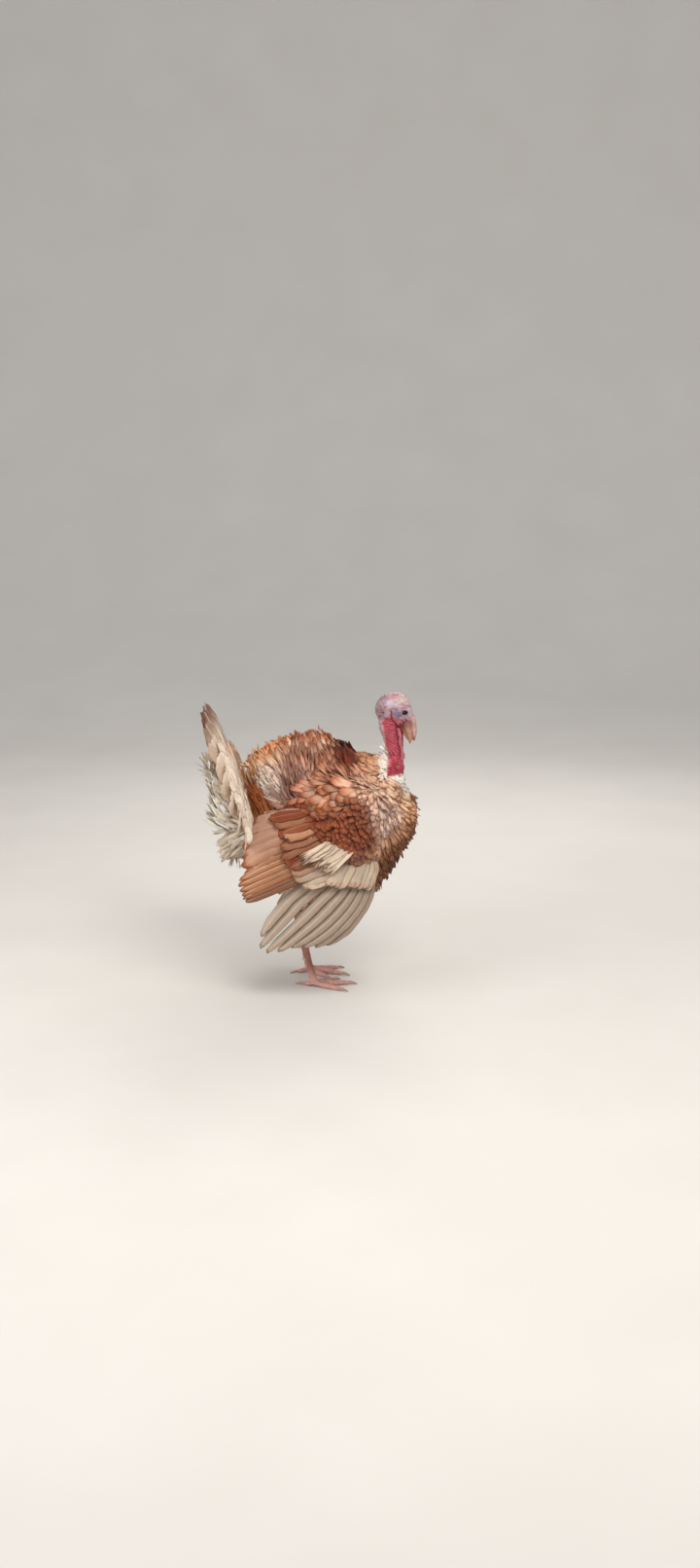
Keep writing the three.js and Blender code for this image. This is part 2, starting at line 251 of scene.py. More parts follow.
def tube(spine, radii, sides=28, steps=24):
    """A round tube along a smooth line, with its points in metres and its triangles."""
    line = curve_through(spine, np.linspace(0, 1, steps))
    radius = np.interp(np.linspace(0, 1, steps), np.linspace(0, 1, len(radii)), radii)
    tangent = unit(np.gradient(line, axis=0))
    across = np.tile([0.0, 1.0, 0.0], (steps, 1))
    third = np.cross(tangent, across)
    turn = np.arange(sides) * 2 * np.pi / sides
    ring = across[:, None] * np.cos(turn)[None, :, None] + third[:, None] * np.sin(turn)[None, :, None]
    points = (line[:, None] + ring * radius[:, None, None]).reshape(-1, 3)
    points = np.concatenate([points, line[:1], line[-1:]])
    faces = []
    for i in range(steps - 1):
        for j in range(sides):
            k = (j + 1) % sides
            a, b, c, d = i * sides + j, i * sides + k, (i + 1) * sides + k, (i + 1) * sides + j
            faces += [(a, c, b), (a, d, c)]
    first, last = steps * sides, steps * sides + 1
    for j in range(sides):
        k = (j + 1) % sides
        faces += [(first, j, k), (last, (steps - 1) * sides + k, (steps - 1) * sides + j)]
    return metres(points), np.array(faces)


def swollen(node, swell):
    """A CAD node's points, welded and moved out by swell, and its triangles."""
    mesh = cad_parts[node].data
    corners = np.empty(len(mesh.loops), dtype=np.int32)
    mesh.loops.foreach_get("vertex_index", corners)
    welded, back = np.unique(np.round(coordinates(mesh), 6), axis=0, return_inverse=True)
    triangles = back.ravel()[corners].reshape(-1, 3)
    a, b, c = (welded[triangles[:, i]] for i in range(3))
    face_normals = np.cross(b - a, c - a)
    point_normals = np.zeros_like(welded)
    for i in range(3):
        np.add.at(point_normals, triangles[:, i], face_normals)
    return welded + unit(point_normals) * swell / 1000, triangles


def joined_copy(name, nodes, swell, extra=()):
    """One mesh of extra forms and of CAD nodes, swollen a little so that they run into each other."""
    verts, faces = [], []
    start = 0
    for points, triangles in [*extra, *(swollen(node, swell) for node in nodes)]:
        verts.append(points)
        faces.append(triangles + start)
        start += len(points)
    mesh = bpy.data.meshes.new(name)
    mesh.from_pydata(np.concatenate(verts).tolist(), [], np.concatenate(faces).tolist())
    mesh.update()
    return add_object(name, mesh)


def one_form(name, nodes, swell, voxel, rounds, extra=()):
    """CAD nodes and extra forms made into one even, softened mesh."""
    return smoothed(remeshed(joined_copy(name, nodes, swell, extra), voxel), rounds)


# ---------------------------------------------------------------- the coat's tracts

# dark colour of the skin under the coat: painted shade in the gaps between the feathers
COAT_GAP_SHADE = (74, 48, 36)
TRACT_EDGE = 1.6  # how sharply one tract gives way to the next
TIP_SHARE = 0.86  # the coat's depth, for each mm that the tips stand off the skin
ROOT_DEPTH = 2
COAT_NUMBERS = ("lift", "roll", "length", "width", "rim_share", "ragged", "bend")


def tract(at, reach, lie, lift, roll, length, width, mid, rim, rim_share, group, ragged=0.35, bend=0.1):
    """One area of the coat round a point, given for the left side, and alike on the right.

    lie is where the tips point in side view, in degrees from forward, turning upward; lift is how far they
    stand off the skin; roll turns a vane edge-on; mid and rim are the colours of its middle and its margin.
    """
    heading = math.radians(lie)
    return {
        "at": at,
        "reach": reach,
        "numbers": [
            math.cos(heading), math.sin(heading), lift, roll, length, width, rim_share, ragged, bend,
            *linear(mid), *linear(rim),
        ],
        "group": group,
    }


TRACTS = [
    # back
    tract((118, 58, 552), 28, 132, 38, 35, 56, 11, (126, 52, 26), (84, 28, 10), 0.9, "back"),
    tract((150, 76, 512), 26, 158, 20, 25, 58, 13, (236, 186, 154), (184, 112, 70), 0.8, "back"),
    tract((10, 40, 590), 42, 108, 44, 36, 60, 13, (255, 218, 190), (176, 96, 52), 1.0, "back", 0.4),
    tract((0, 98, 545), 38, 102, 40, 38, 60, 12, (206, 161, 138), (146, 88, 56), 0.9, "back"),
    tract((-80, 40, 578), 36, 130, 45, 28, 60, 14, (246, 217, 185), (226, 142, 87), 1.0, "back", 0.4),
    tract((-22, 118, 500), 30, 112, 34, 38, 46, 10, (214, 168, 154), (144, 88, 62), 0.8, "back"),
    tract((60, 112, 540), 28, 120, 34, 34, 54, 12, (216, 160, 126), (148, 78, 46), 0.9, "back"),
    # rump
    tract((-140, 50, 508), 34, 122, 28, 16, 60, 12, (255, 232, 198), (240, 166, 108), 0.8, "rump", 0.4),
    tract((-88, 100, 498), 26, 140, 32, 10, 44, 10, (250, 228, 212), (236, 206, 184), 0.4, "rump", 0.7),
    tract((-120, 80, 440), 26, 112, 26, 10, 54, 12, (244, 166, 108), (192, 96, 44), 0.8, "rump", 0.5),
    tract((-236, 30, 520), 40, 104, 15, 10, 44, 13, (255, 242, 224), (244, 222, 198), 0.3, "rump", 0.6),
    tract((-225, 55, 420), 42, 122, 17, 10, 60, 15, (255, 244, 228), (246, 224, 200), 0.3, "rump", 0.6),
    tract((-190, 45, 320), 40, 222, 27, 12, 64, 14, (255, 240, 220), (236, 206, 176), 0.3, "rump", 0.7),
    # wing coverts and scapulars
    tract((75, 140, 500), 30, 196, 22, 0, 56, 26, (200, 152, 124), (168, 88, 46), 1.0, "wing", 0.28),
    tract((0, 142, 462), 28, 204, 20, 0, 56, 28, (178, 106, 72), (140, 62, 28), 1.0, "wing", 0.3),
    tract((112, 168, 425), 40, 228, 28, 0, 34, 17, (76, 28, 16), (160, 86, 56), 1.0, "wing", 0.24),
    tract((60, 172, 432), 34, 222, 28, 0, 38, 22, (92, 36, 20), (160, 84, 50), 1.0, "wing", 0.26),
    tract((-26, 158, 415), 28, 210, 22, 0, 46, 26, (128, 64, 38), (112, 48, 22), 0.9, "wing", 0.26),
    tract((24, 168, 372), 28, 212, 26, 0, 44, 13, (232, 206, 184), (214, 176, 146), 0.5, "wing", 0.9),
    tract((112, 164, 342), 26, 226, 10, 0, 26, 14, (168, 116, 96), (144, 90, 70), 0.6, "wing"),
    tract((118, 160, 304), 22, 236, 9, 0, 28, 13, (232, 210, 190), (214, 186, 162), 0.4, "wing"),
    tract((60, 160, 325), 24, 214, 16, 0, 34, 14, (228, 204, 180), (206, 172, 142), 0.4, "wing", 0.6),
    tract((166, 128, 352), 22, 256, 13, 10, 44, 12, (206, 164, 136), (172, 118, 86), 0.7, "wing"),
    # breast and neck
    tract((225, 45, 470), 34, 318, 32, 25, 44, 10, (246, 208, 174), (186, 116, 70), 0.9, "breast"),
    tract((236, 42, 408), 34, 308, 34, 28, 48, 11, (196, 147, 112), (122, 66, 34), 1.0, "breast"),
    tract((196, 65, 320), 36, 288, 28, 25, 48, 11, (166, 114, 78), (104, 52, 26), 1.0, "breast"),
    tract((176, 102, 455), 28, 272, 12, 0, 36, 13, (229, 198, 182), (201, 154, 130), 0.6, "breast"),
    tract((150, 100, 500), 22, 226, 12, 0, 34, 14, (236, 196, 172), (200, 146, 114), 0.6, "breast"),
    tract((190, 62, 500), 22, 306, 20, 15, 36, 11, (240, 206, 178), (190, 130, 92), 0.8, "breast"),
    tract((213, 22, 510), 24, 286, 15, 0, 26, 8, (255, 244, 234), (250, 232, 220), 0.4, "breast", 0.8),
    tract((190, 30, 534), 15, 222, 18, 0, 24, 7, (255, 240, 228), (246, 224, 208), 0.4, "breast", 0.7),
    tract((150, 12, 552), 19, 136, 24, 40, 26, 12, (206, 154, 116), (164, 106, 66), 0.6, "breast", 0.4),
    tract((184, 12, 556), 15, 150, 20, 34, 18, 9, (255, 242, 230), (246, 226, 212), 0.4, "breast", 0.6),
    tract((150, 45, 545), 18, 232, 18, 6, 30, 11, (224, 170, 128), (178, 112, 72), 0.7, "breast"),
    # belly and thighs
    tract((140, 70, 235), 36, 262, 24, 10, 44, 14, (196, 156, 124), (152, 102, 70), 0.7, "belly"),
    tract((60, 45, 195), 40, 215, 22, 0, 46, 15, (212, 184, 158), (182, 140, 110), 0.5, "belly", 0.6),
    tract((-70, 55, 230), 44, 190, 24, 0, 50, 16, (218, 196, 172), (190, 154, 124), 0.5, "belly", 0.6),
    tract((-120, 60, 310), 36, 180, 24, 0, 50, 15, (222, 200, 176), (196, 156, 122), 0.5, "belly", 0.6),
    tract((0, 130, 330), 60, 205, 16, 0, 46, 17, (214, 182, 154), (186, 138, 104), 0.5, "belly"),
    tract((40, 85, 250), 30, 240, 16, 0, 42, 15, (212, 184, 158), (190, 150, 120), 0.5, "belly", 0.6),
    tract((-8, 66, 185), 26, 254, 14, 0, 28, 12, (204, 172, 146), (184, 144, 116), 0.4, "belly", 0.6),
]


def coat_at(points):
    """The coat's numbers at some points: a smooth blend of the tracts round each one."""
    centres = np.array([t["at"] for t in TRACTS])
    reaches = np.array([t["reach"] for t in TRACTS])
    groups = np.array([t["group"] for t in TRACTS])
    distance = np.linalg.norm(to_left(points)[:, None, :] - centres[None], axis=2) / reaches[None]
    weight = np.exp(-TRACT_EDGE * (distance**2 - (distance**2).min(axis=1, keepdims=True)))
    weight /= weight.sum(axis=1, keepdims=True)
    blend = weight @ np.array([t["numbers"] for t in TRACTS])
    coat = dict(zip(COAT_NUMBERS, blend[:, 2:9].T))
    coat["heading"] = unit(blend[:, :2])
    coat["mid"] = blend[:, 9:12]
    coat["rim"] = blend[:, 12:15]
    coat["group"] = groups[weight.argmax(axis=1)]
    return coat


def coat_depth(points):
    """How far the skin lies under the tips of the feathers."""
    coat = coat_at(points)
    tips_stand = coat["length"] * np.sin(np.radians(coat["lift"]))
    return tips_stand * TIP_SHARE + ROOT_DEPTH


# ---------------------------------------------------------------- feather vanes


def vane_grid(rows, columns):
    """Corners of a closed lens of two sheets that share their edges, and its number of points."""
    top = np.arange((rows + 1) * (columns + 1)).reshape(rows + 1, columns + 1)
    under = top.copy()
    inner = (rows - 1) * (columns - 1)
    under[1:-1, 1:-1] = top.size + np.arange(inner).reshape(rows - 1, columns - 1)
    quads = []
    for sheet, flip in ((top, False), (under, True)):
        a, b, c, d = sheet[:-1, :-1], sheet[:-1, 1:], sheet[1:, 1:], sheet[1:, :-1]
        corners = (a, d, c, b) if flip else (a, b, c, d)
        quads.append(np.stack(corners, axis=-1).reshape(-1, 4))
    return np.concatenate(quads), top.size + inner


# a small feather's share of its full width, from its root to its tip
PROFILE_AT = (0.0, 0.12, 0.35, 0.65, 0.86, 1.0)
PROFILE = (0.15, 0.6, 0.92, 1.0, 0.98, 0.7)


def vanes(name, line, side, face, width, look, seed):
    """Feathers as one mesh of thin closed lenses, each on its own shaft.

    line, side and face are (feathers, rows + 1, 3): the shafts' points, and the axes across each vane and off
    its face.
    """
    rng = np.random.default_rng(seed)
    count, row_count = line.shape[:2]
    rows, columns = row_count - 1, look["columns"]
    t = np.linspace(0, 1, row_count)
    s = np.linspace(-1, 1, columns + 1)
    quads, per_vane = vane_grid(rows, columns)

    # the outline: a profile along the shaft, with nibbled edges and a rounded, split tip
    profile = np.interp(t, look.get("profile_at", PROFILE_AT), look.get("profile", PROFILE))
    half = width[:, None] / 2 * profile
    share = s[None, None, :] * np.ones((count, row_count, 1))
    nibble = look["ragged"][:, None, None] * rng.random((count, row_count, columns + 1))
    for _ in range(look["even_edge"]):
        nibble = (nibble + np.roll(nibble, 1, axis=1) + np.roll(nibble, -1, axis=1)) / 3
    nibble *= smooth_step(0.25, 0.6, t)[None, :, None]
    share = np.where(np.abs(share) == 1, share * (1 - nibble), share)
    across = half[:, :, None] * share
    tip_loss = (look["rounding"] * np.abs(s) ** 2.6)[None, :]
    tip_loss = tip_loss + look["ragged"][:, None] * look["split"] * rng.random((count, columns + 1))
    length = np.linalg.norm(np.diff(line, axis=1), axis=2).sum(axis=1)
    back = (tip_loss * length[:, None])[:, None, :] * (t**3)[None, :, None]
    tangent = unit(np.gradient(line, axis=1))

    # the relief: a cambered, rippled sheet, thickest at the shaft
    dome = -look["camber"] * half[:, :, None] * share**2
    ripple = look["ripple"] * rng.normal(size=(count, row_count, columns + 1)) * t[None, :, None]
    lens = (1 - np.abs(share)) ** 0.7 * np.sin(np.pi * np.clip(t, 0.04, 0.97))[None, :, None] ** 0.4
    lens *= look["thick"]
    sheet = (
        line[:, :, None, :]
        + side[:, :, None, :] * across[..., None]
        - tangent[:, :, None, :] * back[..., None]
        + face[:, :, None, :] * (dome + ripple)[..., None]
    )
    top = sheet + face[:, :, None, :] * (lens * 0.6)[..., None]
    under = sheet - face[:, :, None, :] * (lens * 0.4)[..., None]
    for edge in (np.s_[:, [0, -1]], np.s_[:, :, [0, -1]]):
        top[edge] = sheet[edge]
    inner = np.s_[:, 1:-1, 1:-1]
    points = np.concatenate([top.reshape(count, -1, 3), under[inner].reshape(count, -1, 3)], axis=1)

    u = (np.broadcast_to(s, (row_count, columns + 1)) + 1) / 2
    v = np.broadcast_to(t[:, None], (row_count, columns + 1))
    vane_uv = np.stack([1 - u if look.get("mirrored") else u, v], axis=-1)
    vane_uv = np.concatenate([vane_uv.reshape(-1, 2), vane_uv[1:-1, 1:-1].reshape(-1, 2)])
    patch = look["patch"][:, None, :] + (vane_uv[None] - 0.5) * look["patch_size"][:, None, :]

    mesh = bpy.data.meshes.new(name)
    corners = (quads[None] + (np.arange(count) * per_vane)[:, None, None]).reshape(-1)
    mesh.vertices.add(count * per_vane)
    mesh.vertices.foreach_set("co", metres(points.reshape(-1, 3)).ravel())
    mesh.loops.add(len(corners))
    mesh.loops.foreach_set("vertex_index", corners.astype(np.int32))
    mesh.polygons.add(len(corners) // 4)
    mesh.polygons.foreach_set("loop_start", np.arange(0, len(corners), 4, dtype=np.int32))
    mesh.update(calc_edges=True)
    for label, uv in (("OFBake", patch.reshape(-1, 2)), ("Vane", np.tile(vane_uv, (count, 1)))):
        mesh.uv_layers.new(name=label).data.foreach_set("uv", uv[corners].ravel())
    shade = 1 + look["variety"] * rng.normal(size=(count, 1))
    for label, alpha in (("mid", "shaft"), ("rim", "rim_share")):
        colours = np.repeat(look[label] * shade, per_vane, axis=0)
        set_point_colours(mesh, label, colours, np.repeat(np.broadcast_to(look[alpha], count), per_vane))
    mesh.update()
    return add_object(name, mesh)


PATCH_CELL = 0.0034  # side of each small feather's own square of the bake map
PATCH_SIZE = 0.003  # side of the part of it that is used
BODY_MIDDLE = (20, 0, 400)


def own_cells(places, cell):
    """Moves each place to the nearest free cell of a grid, so that no two patches lie on one another."""
    side = int(1 / cell) - 2
    taken = set()
    out = np.empty_like(places)
    steps = range(-14, 15)
    ring = sorted(((i, j) for i in steps for j in steps), key=lambda c: c[0] ** 2 + c[1] ** 2)
    for k, (i, j) in enumerate(np.clip(places / cell, 1, side).astype(int).tolist()):
        for di, dj in ring:
            spot = (min(max(i + di, 1), side), min(max(j + dj, 1), side))
            if spot not in taken:
                break
        taken.add(spot)
        out[k] = ((spot[0] + 0.5) * cell, (spot[1] + 0.5) * cell)
    return out


def unwrapped(points):
    """A globe-like unwrap of the body's skin: how far round its cross axis, and how far out to the side."""
    x, y, z = (points - np.array(BODY_MIDDLE)).T
    round_it = np.arctan2(z, x) / (2 * np.pi) + 0.5
    outward = np.arctan2(y, np.hypot(x, z)) / np.pi + 0.5
    return np.stack([round_it, outward], axis=1) * 0.96 + 0.02


def scattered(mesh, spacing_at, rng, tries):
    """Points spread evenly over a mesh, as far apart as spacing_at says at each, with their normals."""
    co = millimetres(coordinates(mesh))
    mesh.calc_loop_triangles()
    triangles = np.empty(len(mesh.loop_triangles) * 3, dtype=np.int32)
    mesh.loop_triangles.foreach_get("vertices", triangles)
    triangles = triangles.reshape(-1, 3)
    a, b, c = (co[triangles[:, i]] for i in range(3))
    area = np.linalg.norm(np.cross(b - a, c - a), axis=1)
    pick = rng.choice(len(triangles), size=tries, p=area / area.sum())
    u, v = rng.random((2, tries))
    over = u + v > 1
    u[over], v[over] = 1 - u[over], 1 - v[over]
    u, v = u[:, None], v[:, None]
    points = a[pick] + (b[pick] - a[pick]) * u + (c[pick] - a[pick]) * v
    n = normals(mesh)
    corner_normals = [n[triangles[pick, i]] for i in range(3)]
    facing = unit(corner_normals[0] * (1 - u - v) + corner_normals[1] * u + corner_normals[2] * v)
    spacing = spacing_at(points)
    tree = search_tree(points)
    alive = np.ones(tries, dtype=bool)
    kept = []
    for i in range(tries):
        if alive[i]:
            kept.append(i)
            for _, j, _ in tree.find_range(points[i].tolist(), float(spacing[i])):
                alive[j] = False
    return points[kept], facing[kept]


# ---------------------------------------------------------------- materials


class Nodes:
    """A thin wrapper that makes and links shader nodes."""

    def __init__(self, name):
        self.material = bpy.data.materials.new(name)
        self.material.use_nodes = True
        self.tree = self.material.node_tree
        self.shader = self.tree.nodes["Principled BSDF"]

    def add(self, kind, inputs=None, **settings):
        node = self.tree.nodes.new(kind)
        for key, value in settings.items():
            setattr(node, key, value)
        for key, value in (inputs or {}).items():
            self.plug(node.inputs[key], value)
        return node

    def plug(self, socket, value):
        if isinstance(value, bpy.types.NodeSocket):
            self.tree.links.new(value, socket)
        else:
            socket.default_value = value

    def math(self, operation, a, b=0.0, c=0.0):
        node = self.add("ShaderNodeMath", {0: a, 1: b, 2: c}, operation=operation)
        return node.outputs[0]

    def ramp(self, value, low, high, out_low=0.0, out_high=1.0):
        node = self.add(
            "ShaderNodeMapRange",
            {"Value": value, "From Min": low, "From Max": high, "To Min": out_low, "To Max": out_high},
            interpolation_type="SMOOTHSTEP",
        )
        return node.outputs[0]

    def blend(self, share, a, b, mode="MIX"):
        node = self.add("ShaderNodeMix", data_type="RGBA", blend_type=mode)
        for socket, value in ((0, share), (6, a), (7, b)):
            self.plug(node.inputs[socket], value)
        return node.outputs[2]

    def shaded(self, colour, shade):
        grey = self.add("ShaderNodeCombineXYZ", {0: shade, 1: shade, 2: shade}).outputs[0]
        return self.blend(1.0, colour, grey, "MULTIPLY")

    def noise(self, scale, detail=3.0, rough=0.55, vector=None):
        node = self.add("ShaderNodeTexNoise", {"Scale": scale, "Detail": detail, "Roughness": rough})
        if vector is not None:
            self.plug(node.inputs["Vector"], vector)
        return node.outputs["Fac"]

    def place(self):
        return self.add("ShaderNodeTexCoord").outputs["Object"]

    def bump(self, height, distance, strength=1.0, under=None):
        node = self.add("ShaderNodeBump", {"Height": height, "Distance": distance, "Strength": strength})
        if under is not None:
            self.plug(node.inputs["Normal"], under)
        return node.outputs["Normal"]

    def finish(self, colour, roughness, normal, **fixed):
        self.plug(self.shader.inputs["Base Color"], colour)
        self.plug(self.shader.inputs["Roughness"], roughness)
        self.plug(self.shader.inputs["Normal"], normal)
        for key, value in fixed.items():
            self.shader.inputs[key.replace("_", " ")].default_value = value
        return self.material


def feather_material(name, barbs, rim_from, down, shaft_colour, down_to, patchiness, trailing):
    """Barbs that slant off a shaft, a coloured margin, dark down at the root, and a darker trailing half:
    partly the vane's own greyer tone, partly painted shade where the next feather overlaps it.
    """
    n = Nodes(name)
    uv = n.add("ShaderNodeUVMap", uv_map="Vane").outputs["UV"]
    split = n.add("ShaderNodeSeparateXYZ", {0: uv})
    along = split.outputs["Y"]
    signed = n.math("MULTIPLY_ADD", split.outputs["X"], 2.0, -1.0)
    off = n.math("ABSOLUTE", signed)
    mid = n.add("ShaderNodeAttribute", attribute_name="mid")
    rim = n.add("ShaderNodeAttribute", attribute_name="rim")
    place = n.place()
    patchy = n.noise(70.0, 4.0, 0.6, place)
    fine = n.noise(420.0, 2.0, 0.6, place)

    slant = n.math("MULTIPLY_ADD", off, -0.22, along)
    wobble = n.math("MULTIPLY_ADD", patchy, 0.05, slant)
    wave = n.math("SINE", n.math("MULTIPLY", wobble, barbs * 2 * math.pi))
    ridge = n.math("MULTIPLY_ADD", wave, 0.5, 0.5)

    to_tip = n.ramp(n.math("MULTIPLY_ADD", patchy, 0.16, along), rim_from + 0.12, 1.06)
    to_edge = n.ramp(n.math("MULTIPLY_ADD", patchy, 0.22, off), rim_from, 1.04)
    margin = n.math("MULTIPLY", n.math("MAXIMUM", to_tip, to_edge), rim.outputs["Alpha"])
    colour = n.blend(margin, mid.outputs["Color"], rim.outputs["Color"])
    colour = n.blend(n.ramp(fine, 0.35, 0.75, 0.0, patchiness), colour, rim.outputs["Color"])
    down_and_trailing_shade = n.blend(1.0, rim.outputs["Color"], rgba(down), "MULTIPLY")
    # the trailing half is mixed toward the down colour: partly its own greyer tone, partly painted shade of
    # the overlapping feather
    half = n.math("MULTIPLY", n.ramp(signed, 0.05, -0.75), trailing)
    colour = n.blend(half, colour, down_and_trailing_shade)
    in_down = n.ramp(n.math("MULTIPLY_ADD", patchy, 0.1, along), down_to + 0.05, down_to - 0.18, 0.0, 0.85)
    colour = n.blend(in_down, colour, down_and_trailing_shade)
    on_shaft = n.math("MULTIPLY", n.ramp(off, 0.08, 0.03), mid.outputs["Alpha"])
    colour = n.blend(on_shaft, colour, rgba(shaft_colour))
    # random patches vary the tone; the grooves between the barbs are a little darker, as painted shade
    patches = n.ramp(patchy, 0.25, 0.75, 1.0 - patchiness * 0.5, 1.0 + patchiness * 0.4)
    shade = n.math("MULTIPLY", n.math("MULTIPLY_ADD", ridge, 0.1, 0.92), patches)
    colour = n.shaded(colour, shade)

    height = n.math("MULTIPLY_ADD", fine, 0.5, ridge)
    normal = n.bump(height, 0.00025, 0.5)
    rough = n.ramp(fine, 0.3, 0.7, 0.72, 0.95)
    return n.finish(colour, rough, normal, Sheen_Weight=0.1, Sheen_Roughness=0.5, Specular_IOR_Level=0.16)


def skin_material():
    """Bare and covered skin: painted by place, with pores, creases and a little blotching."""
    n = Nodes("turkey_skin")
    tint = n.add("ShaderNodeAttribute", attribute_name="tint")
    place = n.place()
    blotch = n.noise(90.0, 5.0, 0.6, place)
    pores = n.add("ShaderNodeTexVoronoi", {"Scale": 900.0, "Vector": place}).outputs["Distance"]
    grain = n.noise(1400.0, 3.0, 0.6, place)
    # random blotches vary the tone; the pits of the pores are darkened, as painted shade
    shade = n.math("MULTIPLY", n.ramp(blotch, 0.25, 0.75, 0.84, 1.12), n.ramp(pores, 0.0, 0.5, 0.9, 1.04))
    colour = n.shaded(tint.outputs["Color"], shade)
    normal = n.bump(pores, 0.00035, 0.5)
    normal = n.bump(grain, 0.00012, 0.6, normal)
    rough = n.math("MULTIPLY_ADD", tint.outputs["Alpha"], 0.35, n.ramp(grain, 0.3, 0.7, 0.3, 0.48))
    return n.finish(colour, rough, normal, Specular_IOR_Level=0.4, Subsurface_Weight=0.0)


def horn_material(name, root, tip, streak, from_z, to_z, stretch):
    """Horn with growth streaks, from its root's colour to its tip's between two heights, in metres."""
    n = Nodes(name)
    place = n.place()
    height = n.add("ShaderNodeSeparateXYZ", {0: place}).outputs["Z"]
    stretched = n.add("ShaderNodeMapping", {"Vector": place, "Scale": stretch}).outputs["Vector"]
    lines = n.noise(900.0, 4.0, 0.6, stretched)
    cloud = n.noise(160.0, 3.0, 0.5, place)
    colour = n.blend(n.ramp(height, from_z, to_z), rgba(root), rgba(tip))
    colour = n.blend(n.ramp(lines, 0.4, 0.7, 0.0, 0.55), colour, rgba(streak))
    colour = n.blend(n.ramp(cloud, 0.45, 0.75, 0.0, 0.4), colour, rgba(streak))
    normal = n.bump(lines, 0.0003, 0.5)
    return n.finish(colour, n.ramp(lines, 0.3, 0.7, 0.28, 0.5), normal, Specular_IOR_Level=0.5)


# ---------------------------------------------------------------- the skin

FEATHERED = ["trunk", "neck_base", "vent_fluff"]
FEATHERED += [f"{part}_{s}" for part in ("wing_arm", "thigh") for s in SIDES]
BARE_HEAD = ["head", "neck_bare", "snood", "dewlap"]
TOES = ("middle", "outer", "inner", "hind")
LEGS = [f"shank_{s}" for s in SIDES] + [f"toe_{toe}_{s}" for toe in TOES for s in SIDES]
TOE_CLAWS = [f"claw_{toe}_{s}" for toe in TOES for s in SIDES]
BODY_VOXEL, HEAD_VOXEL, LEG_VOXEL = 6, 1.15, 1.5
SHRINK_STEPS = 8
FOOT_X, FOOT_Y = 6, 56

# the feathered body lies under the solids by the depth of its coat
body = one_form("body", FEATHERED, 1.5, BODY_VOXEL, 6)
depth = coat_depth(millimetres(coordinates(body.data)))
for _ in range(SHRINK_STEPS):
    set_coordinates(
        body.data, coordinates(body.data) - normals(body.data) * depth[:, None] / 1000 / SHRINK_STEPS
    )
    smoothed(body, 2)
smoothed(remeshed(body, BODY_VOXEL), 4)

neck_line = ((196, 0, 478), (203, 0, 512), (201, 0, 545), (197, 0, 575), (190, 0, 608))
neck = tube(neck_line, (15, 16.5, 16, 17, 17))
bill_root = tube(((232, 0, 662), (236, 0, 648), (239, 0, 634), (240, 0, 620)), (9, 7.5, 5.5, 4))
cheek = tube(((208, 0, 654), (219, 0, 650), (228, 0, 645), (233, 0, 640)), (14, 13, 11, 8))
head_nodes = BARE_HEAD + [f"eye_{side}" for side in SIDES]
head = one_form("head_skin", head_nodes, 0.6, HEAD_VOXEL, 4, [neck, bill_root, cheek])
hocks = [
    tube(((-19, y, 146), (-22, y, 163), (-13, y * 1.02, 180), (6, y * 1.04, 202)), (6.5, 8.5, 10.5, 14))
    for y in (-FOOT_Y, FOOT_Y)
]
legs = one_form("leg_skin", LEGS, 0.4, LEG_VOXEL, 3, hocks)


WRINKLE = 6.0  # from one fold of the red neck to the next
EAR = (168, 20, 664)


def eye_frame(points):
    """Three measures round the nearer eye: one that is 1 at its lids, height along its axis, and distance."""
    q = to_left(points) - np.array(EYE)
    out = unit(np.array(EYE_AXIS))
    slit = unit(np.cross([0, 0, 1], out)) * -1
    up = np.cross(out, slit) * -1
    lids = np.hypot(q @ slit / EYE_OPENING[0], q @ up / EYE_OPENING[1])
    return lids, q @ out, np.linalg.norm(q, axis=1)


def wrinkle_wave(points):
    """Oblique folds of the red neck, -1 to 1, that come and go."""
    x, _, z = points.T
    bend = noise(points, 14, 5) * 5 + noise(points, 5, 6) * 1.8
    fading = 0.45 + 0.55 * smooth_step(-0.5, 0.4, noise(points, 8, 7))
    return np.sin((z + 0.5 * x + bend) * 2 * np.pi / WRINKLE) * fading


def crease_line(z):
    """x of the crease that runs down behind the face and along the neck."""
    wander = 0.9 * np.sin(z * 0.21) + 0.6 * np.sin(z * 0.53 + 1)
    return np.interp(z, (530, 567, 593, 635, 651, 672), (215, 211, 206, 201, 191, 188)) + wander


def ear_distance(points):
    """Distance from the nearer ear opening, which is taller and deeper than it is broad."""
    return np.linalg.norm((to_left(points) - np.array(EAR)) * np.array([1, 0.7, 1]), axis=1)


def crown_folds(points):
    """Near 0 along the wandering lines where the skin of the crown creases."""
    return np.abs(noise(points, 11, 11)) + 0.5 * np.abs(noise(points, 5, 12))


def under_brow(x, z):
    """The crease under the brow."""
    return bell(z - 683 + 0.25 * (x - 217), 1.4) * smooth_step(212, 218, x)


def behind_eye(x, z, width, end):
    """The crease that runs back from the eye."""
    return bell(z - 674 + 0.12 * (x - 198), width) * between(x, 188, 195, 200, end)


def mouth_corner(x, z, width):
    """The groove at the root of the bill."""
    return bell(x - 229 + 0.55 * (z - 640), width)


